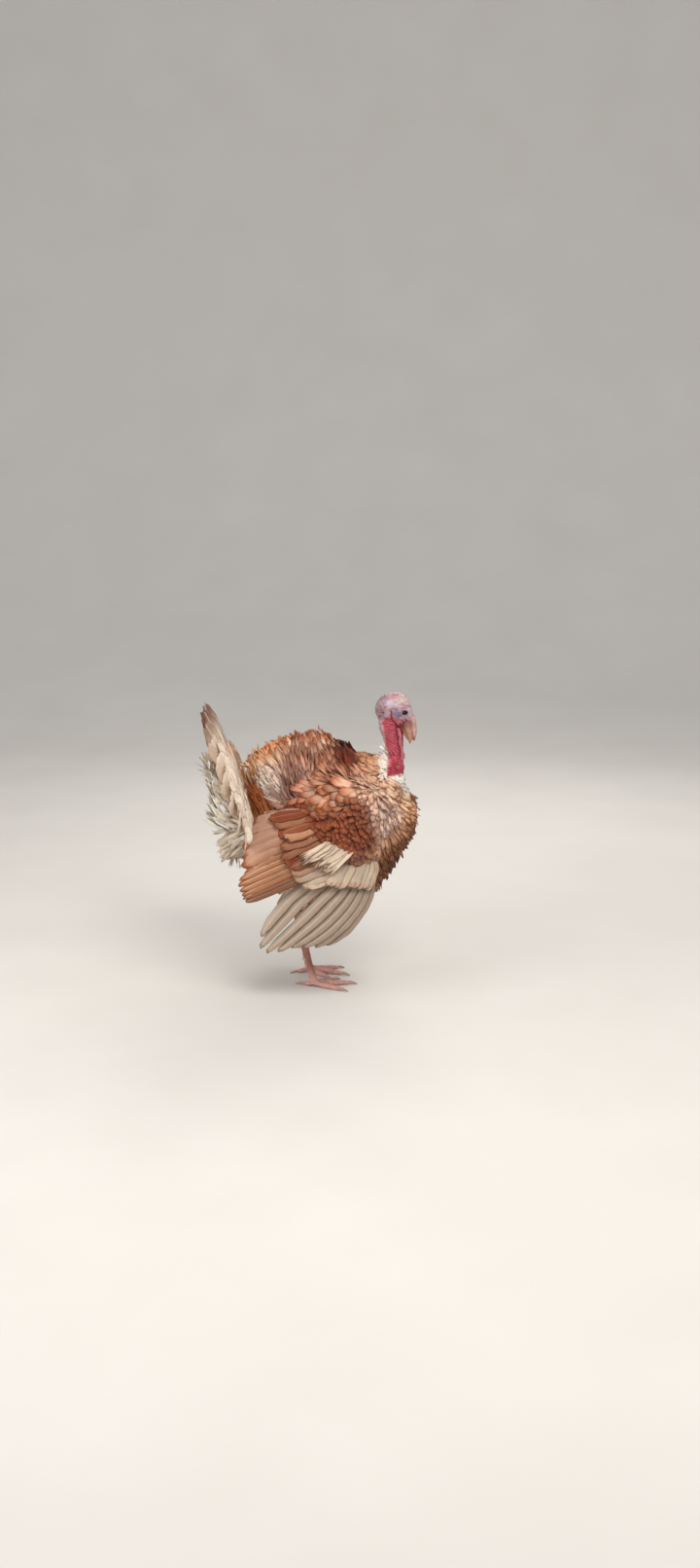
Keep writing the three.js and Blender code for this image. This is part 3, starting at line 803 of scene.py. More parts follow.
def head_relief(points):
    """Height of the lids, creases, wrinkles and caruncles over the head's plain form."""
    x, y, z = points.T
    lids, outward, from_eye = eye_frame(points)
    by_eye = smooth_step(2.0, 3.5, outward)
    out = -3.4 * smooth_step(1.16, 0.92, lids) * by_eye
    out += 0.55 * bell(lids - 1.32, 0.14) * by_eye
    out -= 0.45 * bell(lids - 1.75, 0.14) * by_eye
    out += 0.3 * bell(lids - 2.15, 0.16) * by_eye * (1 + noise(points, 5, 3))

    # the red neck: oblique wrinkles, and a crease with a smooth stripe before it
    side_on = smooth_step(4, 10, np.abs(y))
    red = between(z, 548, 562, 642, 654) * smooth_step(169, 176, x)
    from_crease = x - crease_line(z)
    out += red * 0.95 * wrinkle_wave(points) * side_on * smooth_step(1.5, 4.0, np.abs(from_crease))
    out -= 1.6 * bell(from_crease, 2.2) * between(z, 552, 566, 664, 678) * side_on
    out += 1.1 * bell(from_crease - 5, 3.0) * between(z, 552, 566, 636, 650) * side_on

    # the head: ear, crown, lores, snood, brow, creases by the eye, and the bill's root
    from_ear = ear_distance(points)
    out += 0.8 * bell(from_ear - 5.0, 1.4) - 1.4 * bell(from_ear, 3.0)
    crown = smooth_step(636, 668, z) * smooth_step(9, 15, from_eye)
    out += crown * (0.9 - 2.1 * np.clip(0.55 - crown_folds(points), 0, 0.55) + 0.25 * noise(points, 3.0, 14))
    ripples = np.sin((x * 0.9 - z * 0.5 + noise(points, 8, 15) * 2) * 2 * np.pi / 4.4)
    out -= 0.8 * near(points, (226, 12, 652), (12, 18, 9)) * np.clip(ripples, -0.2, 1)
    snood = smooth_step(238, 242, x) * smooth_step(668, 652, z)
    out += snood * 0.45 * noise(points * np.array([1, 1, 2.2]), 6, 13)
    brow = bell(z - 687 + 0.25 * (x - 217), 1.6) * between(x, 212, 218, 230, 236)
    out += side_on * (brow - 1.2 * under_brow(x, z))
    out -= 0.9 * behind_eye(x, z, 2.0, 209) * side_on
    out += 1.8 * near(points, (184, 20, 687), (12, 20, 7)) + 1.2 * near(points, (203, 20, 680), (5, 20, 4))
    out -= 1.6 * mouth_corner(x, z, 1.3) * between(z, 622, 628, 648, 656) * side_on
    return out


def beads(points, centres, radii, heights):
    """Round caruncles: domes that meet in creases."""
    tree = search_tree(centres)
    out = np.zeros(len(points))
    for k, p in enumerate(points.tolist()):
        _, i, distance = tree.find(p)
        if distance < radii[i]:
            out[k] = heights[i] * math.sqrt(1 - (distance / radii[i]) ** 2)
    return out


SHANK_SCUTE, TOE_SCUTE = 7.0, 5.2  # from one scute to the next


def scute_grooves(points):
    """The grooves between the scutes, 0 to 1: those of the shanks, and those of the toes."""
    x, y, z = points.T
    on_shank = smooth_step(22, 34, z)
    down_shank = (z + 0.9 * x) / SHANK_SCUTE
    along_toe = np.hypot(x - FOOT_X, np.abs(y) - FOOT_Y) / TOE_SCUTE
    shank_groove = smooth_step(0.72, 1.0, np.abs(down_shank % 1 - 0.5) * 2)
    toe_groove = smooth_step(0.66, 1.0, np.abs(along_toe % 1 - 0.5) * 2)
    return on_shank * shank_groove, (1 - on_shank) * toe_groove


# lobes at the foot of the neck: place on the left side, and radius
NECK_LOBES = (
    (197, 17, 550, 12.0),
    (211, 11, 543, 8.0),
    (207, 14, 532, 6.5),
    (191, 17, 537, 6.5),
    (203, 15, 560, 7.0),
    (216, 5, 533, 6.0),
    (216, 6, 552, 6.0),
)
LOBE_HEIGHT = 0.42  # for each mm of its radius
SNOOD_SINK = 2.6  # how far the snood hangs back against the bill

rng = np.random.default_rng(SEED)
head_points = millimetres(coordinates(head.data))
x, _, z = head_points.T
relief = head_relief(head_points)
lobes = np.concatenate([np.array(NECK_LOBES) * (1, sign, 1, 1) for sign in (-1, 1)])
relief += beads(head_points, lobes[:, :3], lobes[:, 3], lobes[:, 3] * LOBE_HEIGHT)
for beaded, count, radius, height in (
    ((z < 575) & (z > 518), 60, 4.2, 1.4),  # foot of the neck
    ((x < 180) & (z > 590), 190, 3.6, 1.0),  # back of the head and neck
    (near(head_points, (212, 18, 645), (16, 20, 9)) > 0.5, 40, 2.6, 0.6),  # lower face
    ((x > 172) & (z < 645) & (z > 560), 110, 2.8, 0.6),  # sides of the red neck
):
    pool = head_points[beaded]
    centres = pool[rng.choice(len(pool), count, replace=False)]
    size = rng.uniform(0.7, 1.2, count)
    relief += beads(head_points, centres, size * radius, size * height)
moved = head_points + normals(head.data) * relief[:, None]
moved[:, 0] -= SNOOD_SINK * smooth_step(236, 240, x) * smooth_step(652, 636, z)
set_coordinates(head.data, metres(moved))
smoothed(head, 1)

leg_points = millimetres(coordinates(legs.data))
leg_normals = normals(legs.data)
shank_groove, toe_groove = scute_grooves(leg_points)
front = smooth_step(-0.2, 0.5, leg_normals[:, 0])
on_top = smooth_step(0.1, 0.6, leg_normals[:, 2])
grooves = shank_groove * (0.35 + 0.65 * front) + toe_groove * on_top
relief = -0.75 * grooves + 0.25 * noise(leg_points, 5, 21)
relief *= smooth_step(1.0, 4.0, leg_points[:, 2])  # the soles stay flat
set_coordinates(legs.data, metres(leg_points + leg_normals * relief[:, None]))

# the toes narrow to a cuff round each claw
TOES_BELOW = 25
CUFF_REACH = 8.0
CUFF_PULL = 0.65
claw_points = millimetres(np.concatenate([coordinates(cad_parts[claw].data) for claw in TOE_CLAWS]))
claw_tree = search_tree(claw_points)
leg_points = millimetres(coordinates(legs.data))
for i in np.flatnonzero(leg_points[:, 2] < TOES_BELOW):
    nearest, _, gap = claw_tree.find(leg_points[i].tolist())
    leg_points[i] += (np.array(nearest) - leg_points[i]) * CUFF_PULL * smooth_step(CUFF_REACH, 1.0, gap)
set_coordinates(legs.data, metres(leg_points))

skin = add_object("skin", bpy.data.meshes.new_from_object(body))
for part in (head, legs):
    union = skin.modifiers.new("grow", "BOOLEAN")
    union.operation = "UNION"
    union.solver = "MANIFOLD"
    union.object = part
applied(skin)
keep_largest_island(skin.data)
for part in (body, head, legs):
    bpy.data.objects.remove(part)


def bare_head(points, spread=0.0):
    """1 on the bare head and neck, 0 where feathers grow. The border moves down and back by spread."""
    x, _, z = points.T
    back_edge = np.minimum(171 + (592 - z) * 0.36, 186)
    neck = smooth_step(519, 527, z + spread) * smooth_step(-3, 3, x - back_edge + spread)
    return np.maximum(neck, smooth_step(572, 580, z))


def head_colour(points):
    """The bare skin's colour by place: pinkish white crown, bluish face, red neck and dark red dewlap, the
    dewlap partly painted shade under the bill; with painted highlights and shade on its wrinkles and creases.
    """
    x, y, z = points.T
    mottle = noise(points, 9, 31)
    colour = np.tile(linear((228, 190, 196)), (len(points), 1))

    def paint(share, rgb):
        nonlocal colour
        colour = mixed(colour, linear(rgb), np.clip(share, 0, 1)[:, None])

    def spot(share, centre, reach, rgb):
        paint(share * near(points, centre, reach), rgb)

    side_on = smooth_step(3, 9, np.abs(y))
    upper = smooth_step(640, 664, z)
    spots = smooth_step(0.05, 0.4, noise(points, 2.6, 33))
    pits = smooth_step(0.1, 0.5, noise(points, 4.5, 34))

    # crown, face and ear, with a painted highlight by the eye and painted shade in the creases round it
    paint(0.5 * smooth_step(0.1, 0.6, mottle) * upper, (212, 150, 160))
    spot(0.8, (214, 12, 695), (16, 16, 8), (248, 228, 222))
    paint(0.55 * smooth_step(0.26, 0.06, crown_folds(points)) * upper, (186, 92, 112))
    spot(0.9, (204, 20, 661), (17, 26, 14), (134, 123, 154))
    spot(0.95, (184, 20, 687), (14, 26, 9), (240, 222, 240))
    spot(0.9, (204, 20, 681), (6, 24, 4), (232, 216, 240))
    spot(0.8, (233, 8, 668), (7, 16, 14), (226, 208, 226))
    # a pale spot above and behind the eye: a painted highlight
    spot(0.8, (209, 20, 671), (2.5, 20, 2), (236, 222, 240))
    spot(0.7, (221, 16, 648), (12, 22, 9), (208, 168, 190))
    spot(spots * 0.9, (221, 16, 649), (18, 26, 13), (84, 58, 90))
    spot(pits * 0.75, (168, 18, 666), (11, 26, 18), (132, 66, 84))
    spot(0.9, (199, 0, 705), (8, 16, 8), (200, 78, 100))
    spot(0.55, (180, 12, 700), (12, 20, 4), (204, 118, 138))
    # the creases behind the eye and under the brow are darkened: painted shade
    creases = np.maximum(behind_eye(x, z, 2.2, 210), 0.8 * under_brow(x, z))
    paint(0.6 * creases * side_on, (88, 74, 104))

    # the red neck: painted highlights on the crests of its wrinkles and painted shade in their folds, painted
    # shade in its crease, and the dark red under the bill, partly the dewlap's own colour and partly painted
    # shade
    red_edge = np.interp(
        z, (520, 545, 565, 588, 606, 629, 641, 652, 662), (180, 182, 184, 177, 175, 172, 167, 176, 188)
    )
    red = smooth_step(-3, 3, x - red_edge) * smooth_step(660, 648, z + 0.25 * (x - 190))
    paint(smooth_step(652, 634, z) * (1 - red) * 0.8, (226, 178, 184))
    paint(red, (208, 72, 94))
    # paler on the crests of the wrinkles and darker in their folds: painted highlight and painted shade
    wrinkle = wrinkle_wave(points)
    paint(red * smooth_step(0.25, 0.8, wrinkle) * 0.8, (238, 134, 148))
    paint(red * smooth_step(-0.25, -0.75, wrinkle) * 0.75, (140, 20, 40))
    from_crease = x - crease_line(z)
    # the dark red under the bill: partly the dewlap's own colour, partly painted shade; its pale spots are
    # painted highlights on its folds
    dewlap_and_bill_shade = smooth_step(1, 5, from_crease - 6) * smooth_step(645, 637, z) * smooth_step(232, 224, x)
    paint(dewlap_and_bill_shade, (124, 18, 32))
    paint(dewlap_and_bill_shade * spots * 0.8, (214, 110, 104))
    paint(0.9 * bell(from_crease - 5.5, 2.8) * between(z, 530, 545, 640, 655), (242, 142, 156))
    below = between(z, 552, 566, 668, 679)
    paint(0.5 * bell(np.abs(from_crease) - 3, 1.5) * smooth_step(650, 660, z) * below, (206, 96, 120))
    # the crease is darkened along its groove: painted shade
    paint(0.95 * bell(from_crease, 1.9) * below, (104, 12, 30))
    spot(0.9, (197, 20, 550), (8, 20, 9), (232, 88, 108))
    paint(smooth_step(540, 528, z) * 0.5 * red, (190, 44, 66))

    # a pale band by the mouth, the snood, the bill's root with painted shade in its groove, the lids, painted
    # shade below and behind the eye, and the ear
    band = bell(z - 646 + 0.95 * (x - 206), 3.0) * between(x, 203, 208, 228, 233)
    paint(0.8 * band * smooth_step(624, 630, z), (232, 186, 186))
    snood = smooth_step(236, 240, x) * smooth_step(662, 648, z)
    paint(snood * 0.9, (226, 184, 174))
    paint(snood * smooth_step(610, 602, z), (190, 70, 62))
    # the groove at the bill's root is darkened: painted shade
    paint(0.75 * mouth_corner(x, z, 1.4) * between(z, 620, 628, 650, 658) * side_on, (104, 62, 78))
    lids, outward, _ = eye_frame(points)
    paint(0.9 * smooth_step(1.45, 1.15, lids) * smooth_step(0, 3, outward), (50, 38, 50))
    # a dark spot below and behind the eye: painted shade
    spot(0.6, (210, 20, 660), (5, 20, 4), (96, 86, 116))
    paint(0.8 * bell(ear_distance(points), 3.6), (120, 52, 72))
    dim_back = 1 - 0.32 * smooth_step(186, 172, x) * smooth_step(640, 655, z)
    speckle = 1 + 0.12 * noise(points, 3, 32) + 0.08 * mottle + 0.16 * noise(points, 2.2, 35) * upper
    return colour * 0.6 * (dim_back * speckle)[:, None]


def leg_colour(points):
    """Pinkish brown legs with paler toes and scutes, and painted shade on the undersides near the floor."""
    z = points[:, 2]
    colour = mixed(linear((162, 114, 99)), linear((212, 168, 158)), smooth_step(60, 12, z)[:, None])
    colour = colour * (1 + 0.16 * noise(points, 9, 41) + 0.1 * noise(points, 3.5, 42))[:, None]
    shank_groove, toe_groove = scute_grooves(points)
    # darker in the grooves between the scutes, and darkened within a few mm of the floor as painted shade
    dark = np.clip(0.5 * (shank_groove + toe_groove) + 0.4 * smooth_step(4.0, 1.0, z), 0, 1)[:, None]
    return mixed(colour, linear((128, 86, 76)), dark) * linear((246, 236, 234))


skin_points = millimetres(coordinates(skin.data))
parted = near(skin_points, (152, 96, 500), (40, 50, 36)) + near(skin_points, (180, 25, 545), (36, 40, 36))
parted = 0.4 * np.clip(parted, 0, 1)[:, None]
is_head = bare_head(skin_points, 7)
is_leg = smooth_step(172, 164, skin_points[:, 2])
# the skin under the coat: its colour dimmed and mixed toward a dark colour, as painted shade between the
# feathers, less of it where they part
tint = coat_at(skin_points)["mid"] * (0.45 + parted) + linear(COAT_GAP_SHADE) * (0.4 - parted)
tint = mixed(tint, head_colour(skin_points), is_head[:, None])
tint = mixed(tint, leg_colour(skin_points), is_leg[:, None])
set_point_colours(skin.data, "tint", tint, 1 - is_head)
dressed(skin, skin_material())
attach(skin, "root")
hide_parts(*FEATHERED, *BARE_HEAD, *LEGS)


# ---------------------------------------------------------------- contour feathers

contour = feather_material(
    "contour_feather",
    barbs=34,
    rim_from=0.5,
    down=(176, 158, 148),
    shaft_colour=(232, 204, 178),
    down_to=0.3,
    patchiness=0.25,
    trailing=0.0,
)
tail_vane = feather_material(
    "tail_feather",
    barbs=60,
    rim_from=0.66,
    down=(206, 190, 178),
    shaft_colour=(244, 232, 214),
    down_to=0.1,
    patchiness=0.2,
    trailing=0.15,
)
flight = feather_material(
    "flight_feather",
    barbs=70,
    rim_from=0.86,
    down=(214, 196, 182),
    shaft_colour=(238, 216, 190),
    down_to=0.1,
    patchiness=0.12,
    trailing=0.45,
)
CONTOUR_ROWS, DOWN_ROWS = 6, 3  # faces along each vane
CONTOUR_SUNK, DOWN_SUNK = 1.5, 1.0  # how far the roots lie in the skin
LOWEST_FEATHER, LOWEST_DOWN = 166, 176  # heights above the floor
DOWN_SPACING, DOWN_WIDTH = 9.5, 13.0
FEATHER_TRIES, DOWN_TRIES = 120000, 40000  # how many places are tried for roots


def raised(flow, facing, lift):
    """A feather's axes along its shaft, off its face and across it; lift is its angle off the skin."""
    grow = flow * np.cos(lift) + facing * np.sin(lift)
    face = facing * np.cos(lift) - flow * np.sin(lift)
    return grow, face, np.cross(grow, face)


def small_feathers(name, points, start, axes, length, width, bend, sway, rows, look, seed):
    """One piece of short feathers: each leaves the skin along grow, bends off its face and sways aside."""
    grow, face, side = axes
    t = np.linspace(0, 1, rows + 1)[None, :, None]
    run = length[:, None, None]
    bow = side * sway[:, None] - face * bend[:, None]
    line = start[:, None] + grow[:, None] * run * t + bow[:, None] * run * t**2
    side, face = (np.broadcast_to(axis[:, None], line.shape) for axis in (side, face))
    look["patch"] = own_cells(unwrapped(points), PATCH_CELL)
    look["patch_size"] = np.full((len(points), 2), PATCH_SIZE)
    piece = vanes(name, line, side, face, width, look, seed)
    dressed(piece, contour)
    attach(piece, "root")
    return piece


def coat_piece(name, points, facing, seed):
    """The contour feathers that grow at these roots."""
    rng = np.random.default_rng(seed)
    count = len(points)
    coat = coat_at(points)
    loose = np.where(coat["group"] == "wing", 2, 1)
    heading = np.arctan2(coat["heading"][:, 1], coat["heading"][:, 0])
    heading += loose * (rng.normal(0, 0.07, count) + 0.1 * noise(points, 30, 51))
    aim = np.stack([np.cos(heading), 0.06 * rng.normal(size=count), np.sin(heading)], axis=1)
    flow = unit(aim - facing * (aim * facing).sum(axis=1, keepdims=True))
    lift = coat["lift"] * (1 + 0.1 * rng.normal(size=count)) + (2 + 2 * loose) * noise(points, 26, 52)
    grow, face, side = raised(flow, facing, np.clip(np.radians(lift), 0.08, 1.0)[:, None])
    roll = coat["roll"] * (1 + 0.3 * rng.normal(size=count)) + 5 * rng.normal(size=count)
    roll = np.radians(roll)[:, None] * np.where(side[:, :1] < 0, -1, 1)
    face, side = face * np.cos(roll) - side * np.sin(roll), side * np.cos(roll) + face * np.sin(roll)
    length = coat["length"] * (1 + 0.08 * rng.normal(size=count))
    width = coat["width"] * (1 + 0.12 * rng.normal(size=count))
    bend = coat["bend"] + 0.08 * rng.normal(size=count)
    sway = 0.07 * rng.normal(size=count)

    # paler patches high on the wing, and clouds of lighter and darker feathers
    pale = (coat["group"] == "wing") * smooth_step(0.0, 0.5, noise(points, 26, 53))
    pale = 0.7 * (pale * smooth_step(455, 475, points[:, 2]))[:, None]
    cloud = (1 + 0.12 * noise(points, 28, 54))[:, None]
    look = {
        "columns": 6,
        "even_edge": 1,
        "ragged": coat["ragged"],
        "rounding": 0.12,
        "split": 0.36,
        "camber": 0.24,
        "ripple": 0.25,
        "thick": 0.5,
        "variety": 0.15,
        "mid": mixed(coat["mid"], linear((236, 208, 188)), pale) * cloud,
        "rim": coat["rim"] * cloud,
        "rim_share": coat["rim_share"],
        "shaft": 0.1,
    }
    start = points - facing * CONTOUR_SUNK
    axes = (grow, face, side)
    return small_feathers(name, points, start, axes, length, width, bend, sway, CONTOUR_ROWS, look, seed)


def down_piece(name, points, facing, seed):
    """Short tufts, every which way, that hide the skin between the feathers: the coat's colour darkened, as
    painted shade in the gaps.
    """
    rng = np.random.default_rng(seed)
    count = len(points)
    coat = coat_at(points)
    flow = unit(np.cross(facing, rng.normal(size=(count, 3))))
    axes = raised(flow, facing, np.radians(rng.uniform(12, 32, count))[:, None])
    length = np.clip(coat["length"] * 0.45, 12, 24) * rng.uniform(0.8, 1.1, count)
    width, bend, sway = np.full(count, DOWN_WIDTH), np.full(count, 0.2), np.zeros(count)
    look = {
        "columns": 4,
        "even_edge": 0,
        "ragged": np.full(count, 0.8),
        "rounding": 0.2,
        "split": 0.5,
        "camber": 0.3,
        "ripple": 0.5,
        "thick": 0.6,
        "variety": 0.15,
        # the coat's colour darkened: painted shade between the feathers
        "mid": coat["mid"] * 0.7,
        "rim": coat["mid"] * 0.85,
        "rim_share": 0.8,
        "shaft": 0.0,
    }
    start = points - facing * DOWN_SUNK
    return small_feathers(name, points, start, axes, length, width, bend, sway, DOWN_ROWS, look, seed)


def feather_spacing(points):
    """Closer where the feathers part, on the shoulder and the neck."""
    coat = coat_at(points)
    parting = near(points, (152, 96, 500), (34, 46, 34)) + 0.8 * near(points, (180, 25, 545), (32, 40, 36))
    return (0.26 * coat["width"] + 0.072 * coat["length"]) * (1 - 0.42 * np.clip(parting, 0, 1))


roots, facing = scattered(skin.data, feather_spacing, np.random.default_rng(SEED + 1), FEATHER_TRIES)
groups = coat_at(roots)["group"]
bare = (roots[:, 2] < LOWEST_FEATHER) | (bare_head(roots, 2) > 0.6)
seed = 100
for group, slot in (
    ("back", "body_feathers"),
    ("rump", "pale_feathers"),
    ("wing", "body_feathers"),
    ("breast", "body_feathers"),
    ("belly", "pale_feathers"),
):
    for side_name, on_side in (("right", roots[:, 1] < 0), ("left", roots[:, 1] >= 0)):
        chosen = (groups == group) & on_side & ~bare
        piece = coat_piece(f"coat_{group}_{side_name}", roots[chosen], facing[chosen], seed)
        seed += 1

rng = np.random.default_rng(SEED + 2)
roots, facing = scattered(skin.data, lambda points: np.full(len(points), DOWN_SPACING), rng, DOWN_TRIES)
grown = (roots[:, 2] > LOWEST_DOWN) & (bare_head(roots, 14) < 0.3)
piece = down_piece("down_tufts", roots[grown], facing[grown], 90)


# ---------------------------------------------------------------- flight feathers

FLIGHT_LOOK = {
    "columns": 10,
    "even_edge": 2,
    "rounding": 0.07,
    "split": 0.06,
    "camber": 0.12,
    "ripple": 0.3,
    "thick": 1.4,
    "variety": 0.05,
    "profile_at": (0.0, 0.08, 0.3, 0.7, 0.92, 1.0),
    "profile": (0.16, 0.5, 0.9, 1.0, 0.9, 0.55),
}


def quills(name, spine, outward, width, rows, seed, material, **look):
    """Long feathers along quadratic shafts, each through its root, its middle and its tip."""
    root, middle, tip = spine
    count = len(root)
    t = np.linspace(0, 1, rows + 1)[None, :, None]
    control = 2 * middle - (root + tip) / 2
    line = root[:, None] * (1 - t) ** 2 + control[:, None] * 2 * t * (1 - t) + tip[:, None] * t**2
    tangent = unit(np.gradient(line, axis=1))
    face = np.broadcast_to(unit(outward)[:, None], line.shape)
    face = unit(face - tangent * (face * tangent).sum(axis=2, keepdims=True))
    look = {**FLIGHT_LOOK, **look}
    look["patch"] = np.stack([(np.arange(count) + 0.5) / count, np.full(count, 0.5)], axis=1)
    look["patch_size"] = np.tile([0.8 / count, 0.9], (count, 1))
    piece = vanes(name, line, np.cross(tangent, face), face, width, look, seed)
    dressed(piece, material)
    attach(piece, "root")
    return piece


def spine_at(s, sign, lines):
    """Roots, middles and tips along three smooth lines, on one side."""
    return [curve_through(points, s) * (1, sign, 1) for points in lines]


# the lines of the roots, middles and tips of each row, on the left side
PRIMARY_LINES = (
    ((156, 148, 318), (124, 152, 316), (80, 152, 328)),
    ((128, 178, 222), (84, 182, 216), (30, 181, 230), (-24, 178, 264)),
    ((46, 186, 144), (8, 190, 138), (-30, 191, 138), (-72, 189, 125), (-106, 186, 124), (-106, 184, 160)),
)
SECONDARY_LINES = (
    ((74, 167, 320), (52, 170, 352), (24, 164, 404), (8, 150, 456)),
    ((-20, 196, 262), (-44, 193, 322), (-60, 184, 388), (-66, 168, 440)),
    ((-134, 206, 204), (-147, 200, 256), (-152, 190, 300), (-144, 178, 350), (-132, 156, 426)),
)
PRIMARY_COVERT_LINES = (
    ((160, 138, 336), (130, 142, 338), (88, 146, 342)),
    ((157, 164, 308), (116, 171, 308), (68, 177, 316)),
    ((146, 177, 276), (100, 183, 274), (44, 189, 282)),
)
GREATER_COVERT_LINES = (
    ((92, 160, 322), (66, 160, 356), (36, 158, 404), (18, 146, 456)),
    ((44, 184, 298), (6, 190, 342), (-24, 188, 392), (-38, 170, 450)),
    ((2, 198, 280), (-36, 202, 326), (-62, 196, 382), (-70, 174, 442)),
)
MEDIAN_COVERT_LINES = (
    ((112, 162, 366), (84, 164, 374), (52, 164, 390)),
    ((86, 182, 340), (50, 190, 352), (22, 193, 372)),
    ((56, 192, 312), (16, 199, 330), (-14, 203, 352)),
)
COVERT_ROWS = (
    # name, count, lines, width, how rusty, how loose, brightness of the white
    ("primary_coverts", 11, PRIMARY_COVERT_LINES, 26, 0, 0.5, 1.0),
    ("greater_coverts", 12, GREATER_COVERT_LINES, 34, 1, 0.8, 1.0),
    ("median_coverts", 18, MEDIAN_COVERT_LINES, 15, 0, 1.0, 1.25),
)
SECONDARIES_AT = np.array([0.2, 0.25, 0.3, 0.35, 0.41, 0.47, 0.54, 0.62, 0.71, 0.8, 0.89, 0.98])

for side_name, sign in SIDE_SIGNS:
    rng = np.random.default_rng(300 + sign)
    s = np.linspace(0, 1, 8)
    ragged = 0.25 + 0.25 * rng.random(len(s))
    shade = 0.87 + 0.31 * s[:, None] ** 2 + 0.05 * rng.normal(size=(len(s), 1))
    piece = quills(
        f"primary_feathers_{side_name}",
        spine_at(s, sign, PRIMARY_LINES),
        outward=np.tile([-0.42, sign, 0.26], (len(s), 1)),
        width=27 + 4 * s,
        rows=30,
        seed=310 + sign,
        material=flight,
        mirrored=sign > 0,
        ragged=ragged,
        mid=linear((170, 154, 138)) * shade,
        rim=linear((176, 152, 130)),
        rim_share=0.7,
        shaft=0.4,
    )
    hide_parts(f"primaries_{side_name}")

    s = SECONDARIES_AT
    root, middle, tip = spine_at(s, sign, SECONDARY_LINES)
    tip += rng.normal(0, (3, 0.5, 2), (len(s), 3))
    tan_from, pink_from = smooth_step(0.2, 0.36, s)[:, None], smooth_step(0.5, 0.7, s)[:, None]
    brown_to_tan = mixed(linear((130, 88, 66)), linear((178, 130, 98)), tan_from)
    rim_to_tan = mixed(linear((136, 94, 70)), linear((160, 92, 48)), tan_from)
    piece = quills(
        f"secondary_feathers_{side_name}",
        (root, middle, tip),
        outward=np.tile([-0.1, sign, 0.36], (len(s), 1)) + 0.06 * rng.normal(size=(len(s), 3)),
        width=26 + 20 * smooth_step(0.5, 0.65, s),
        rows=26,
        seed=320 + sign,
        material=flight,
        mirrored=sign > 0,
        ragged=0.2 + 0.3 * rng.random(len(s)),
        mid=mixed(brown_to_tan, linear((201, 158, 133)), pink_from),
        rim=mixed(rim_to_tan, linear((162, 88, 46)), pink_from),
        rim_share=1.0,
        shaft=0.4 * between(s, 0.12, 0.2, 0.5, 0.58) + 0.1,
    )
    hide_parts(f"secondaries_{side_name}")

    # the rows of coverts that lie over the roots of the flight feathers
    for row, (name, count, lines, broad, rusty, soft, bright) in enumerate(COVERT_ROWS):
        rng = np.random.default_rng(340 + 10 * row + sign)
        s = np.linspace(0, 1, count)
        root, middle, tip = spine_at(s, sign, lines)
        middle += rng.normal(0, (2, 0.5, 3), (count, 3)) * soft
        tip += rng.normal(0, (11, 2, 8), (count, 3)) * soft
        outward = np.tile([-0.2, sign, 0.3], (count, 1)) + 0.25 * soft * rng.normal(size=(count, 3))
        warm = rusty * smooth_step(0.1, 0.4, s)[:, None]
        rust = mixed(linear((118, 50, 28)), linear((186, 138, 106)), rng.random((count, 1)) ** 2.5)
        ragged = soft * (1 - 0.55 * rusty) * (0.7 + 0.3 * rng.random(count))
        piece = quills(
            f"{name}_{side_name}",
            (root, middle, tip),
            outward,
            width=broad * (1 + 0.12 * rng.normal(size=count)),
            rows=16,
            seed=350 + row,
            material=tail_vane,
            columns=8,
            even_edge=1,
            mirrored=sign > 0,
            ragged=ragged,
            split=0.12 + 0.3 * soft * (1 - 0.6 * rusty),
            camber=0.2,
            variety=0.1,
            mid=mixed(linear((196, 178, 158)) * bright, rust, warm),
            rim=mixed(linear((190, 158, 130)), linear((146, 76, 42)), warm),
            rim_share=0.9,
            shaft=0.1,
        )


# ---------------------------------------------------------------- the tail

FAN_ROOT = (-156, 0, 395)
FAN_LENGTH = 306
FAN_OPENING = 190  # degrees from the outermost right feather to the left one
FAN_LEAN = 20  # degrees back from upright
FAN_BOW = 10  # how far the middle of a feather stands ahead of its root and tip
FAN_TURN = 0.165  # how far the fan's left side stands back, for each mm outward


def fan_angle(s):
    """How far a feather of the fan is turned from upright; s runs from 0 at the right to 1 at the left."""
    return np.radians(FAN_OPENING * (s - 0.5))


def tail_point(s, share, lean=0.0, ahead=0.0):
    """A point of the fan, this share of the way out along a feather, and the fan's forward axis there."""
    share = np.broadcast_to(share, s.shape)
    lean = np.radians(FAN_LEAN + np.broadcast_to(lean, s.shape))
    upward = np.stack([-np.sin(lean), 0 * s, np.cos(lean)], axis=1)
    forward = np.stack([np.cos(lean), 0 * s, np.sin(lean)], axis=1)
    length = FAN_LENGTH * (1 - 0.06 * (2 * s - 1) ** 2) * share
    sideways = length * np.sin(fan_angle(s))
    turned = -FAN_TURN * sideways * np.abs(sideways) / (np.abs(sideways) + 60)
    turned -= 12 * (s < 0.5) * (2 * s - 1) ** 4 * share
    out = np.array(FAN_ROOT) + upward * (length * np.cos(fan_angle(s)))[:, None]
    out[:, 1] += sideways
    return out + forward * (FAN_BOW * np.sin(np.pi * share) + turned + ahead)[:, None], forward


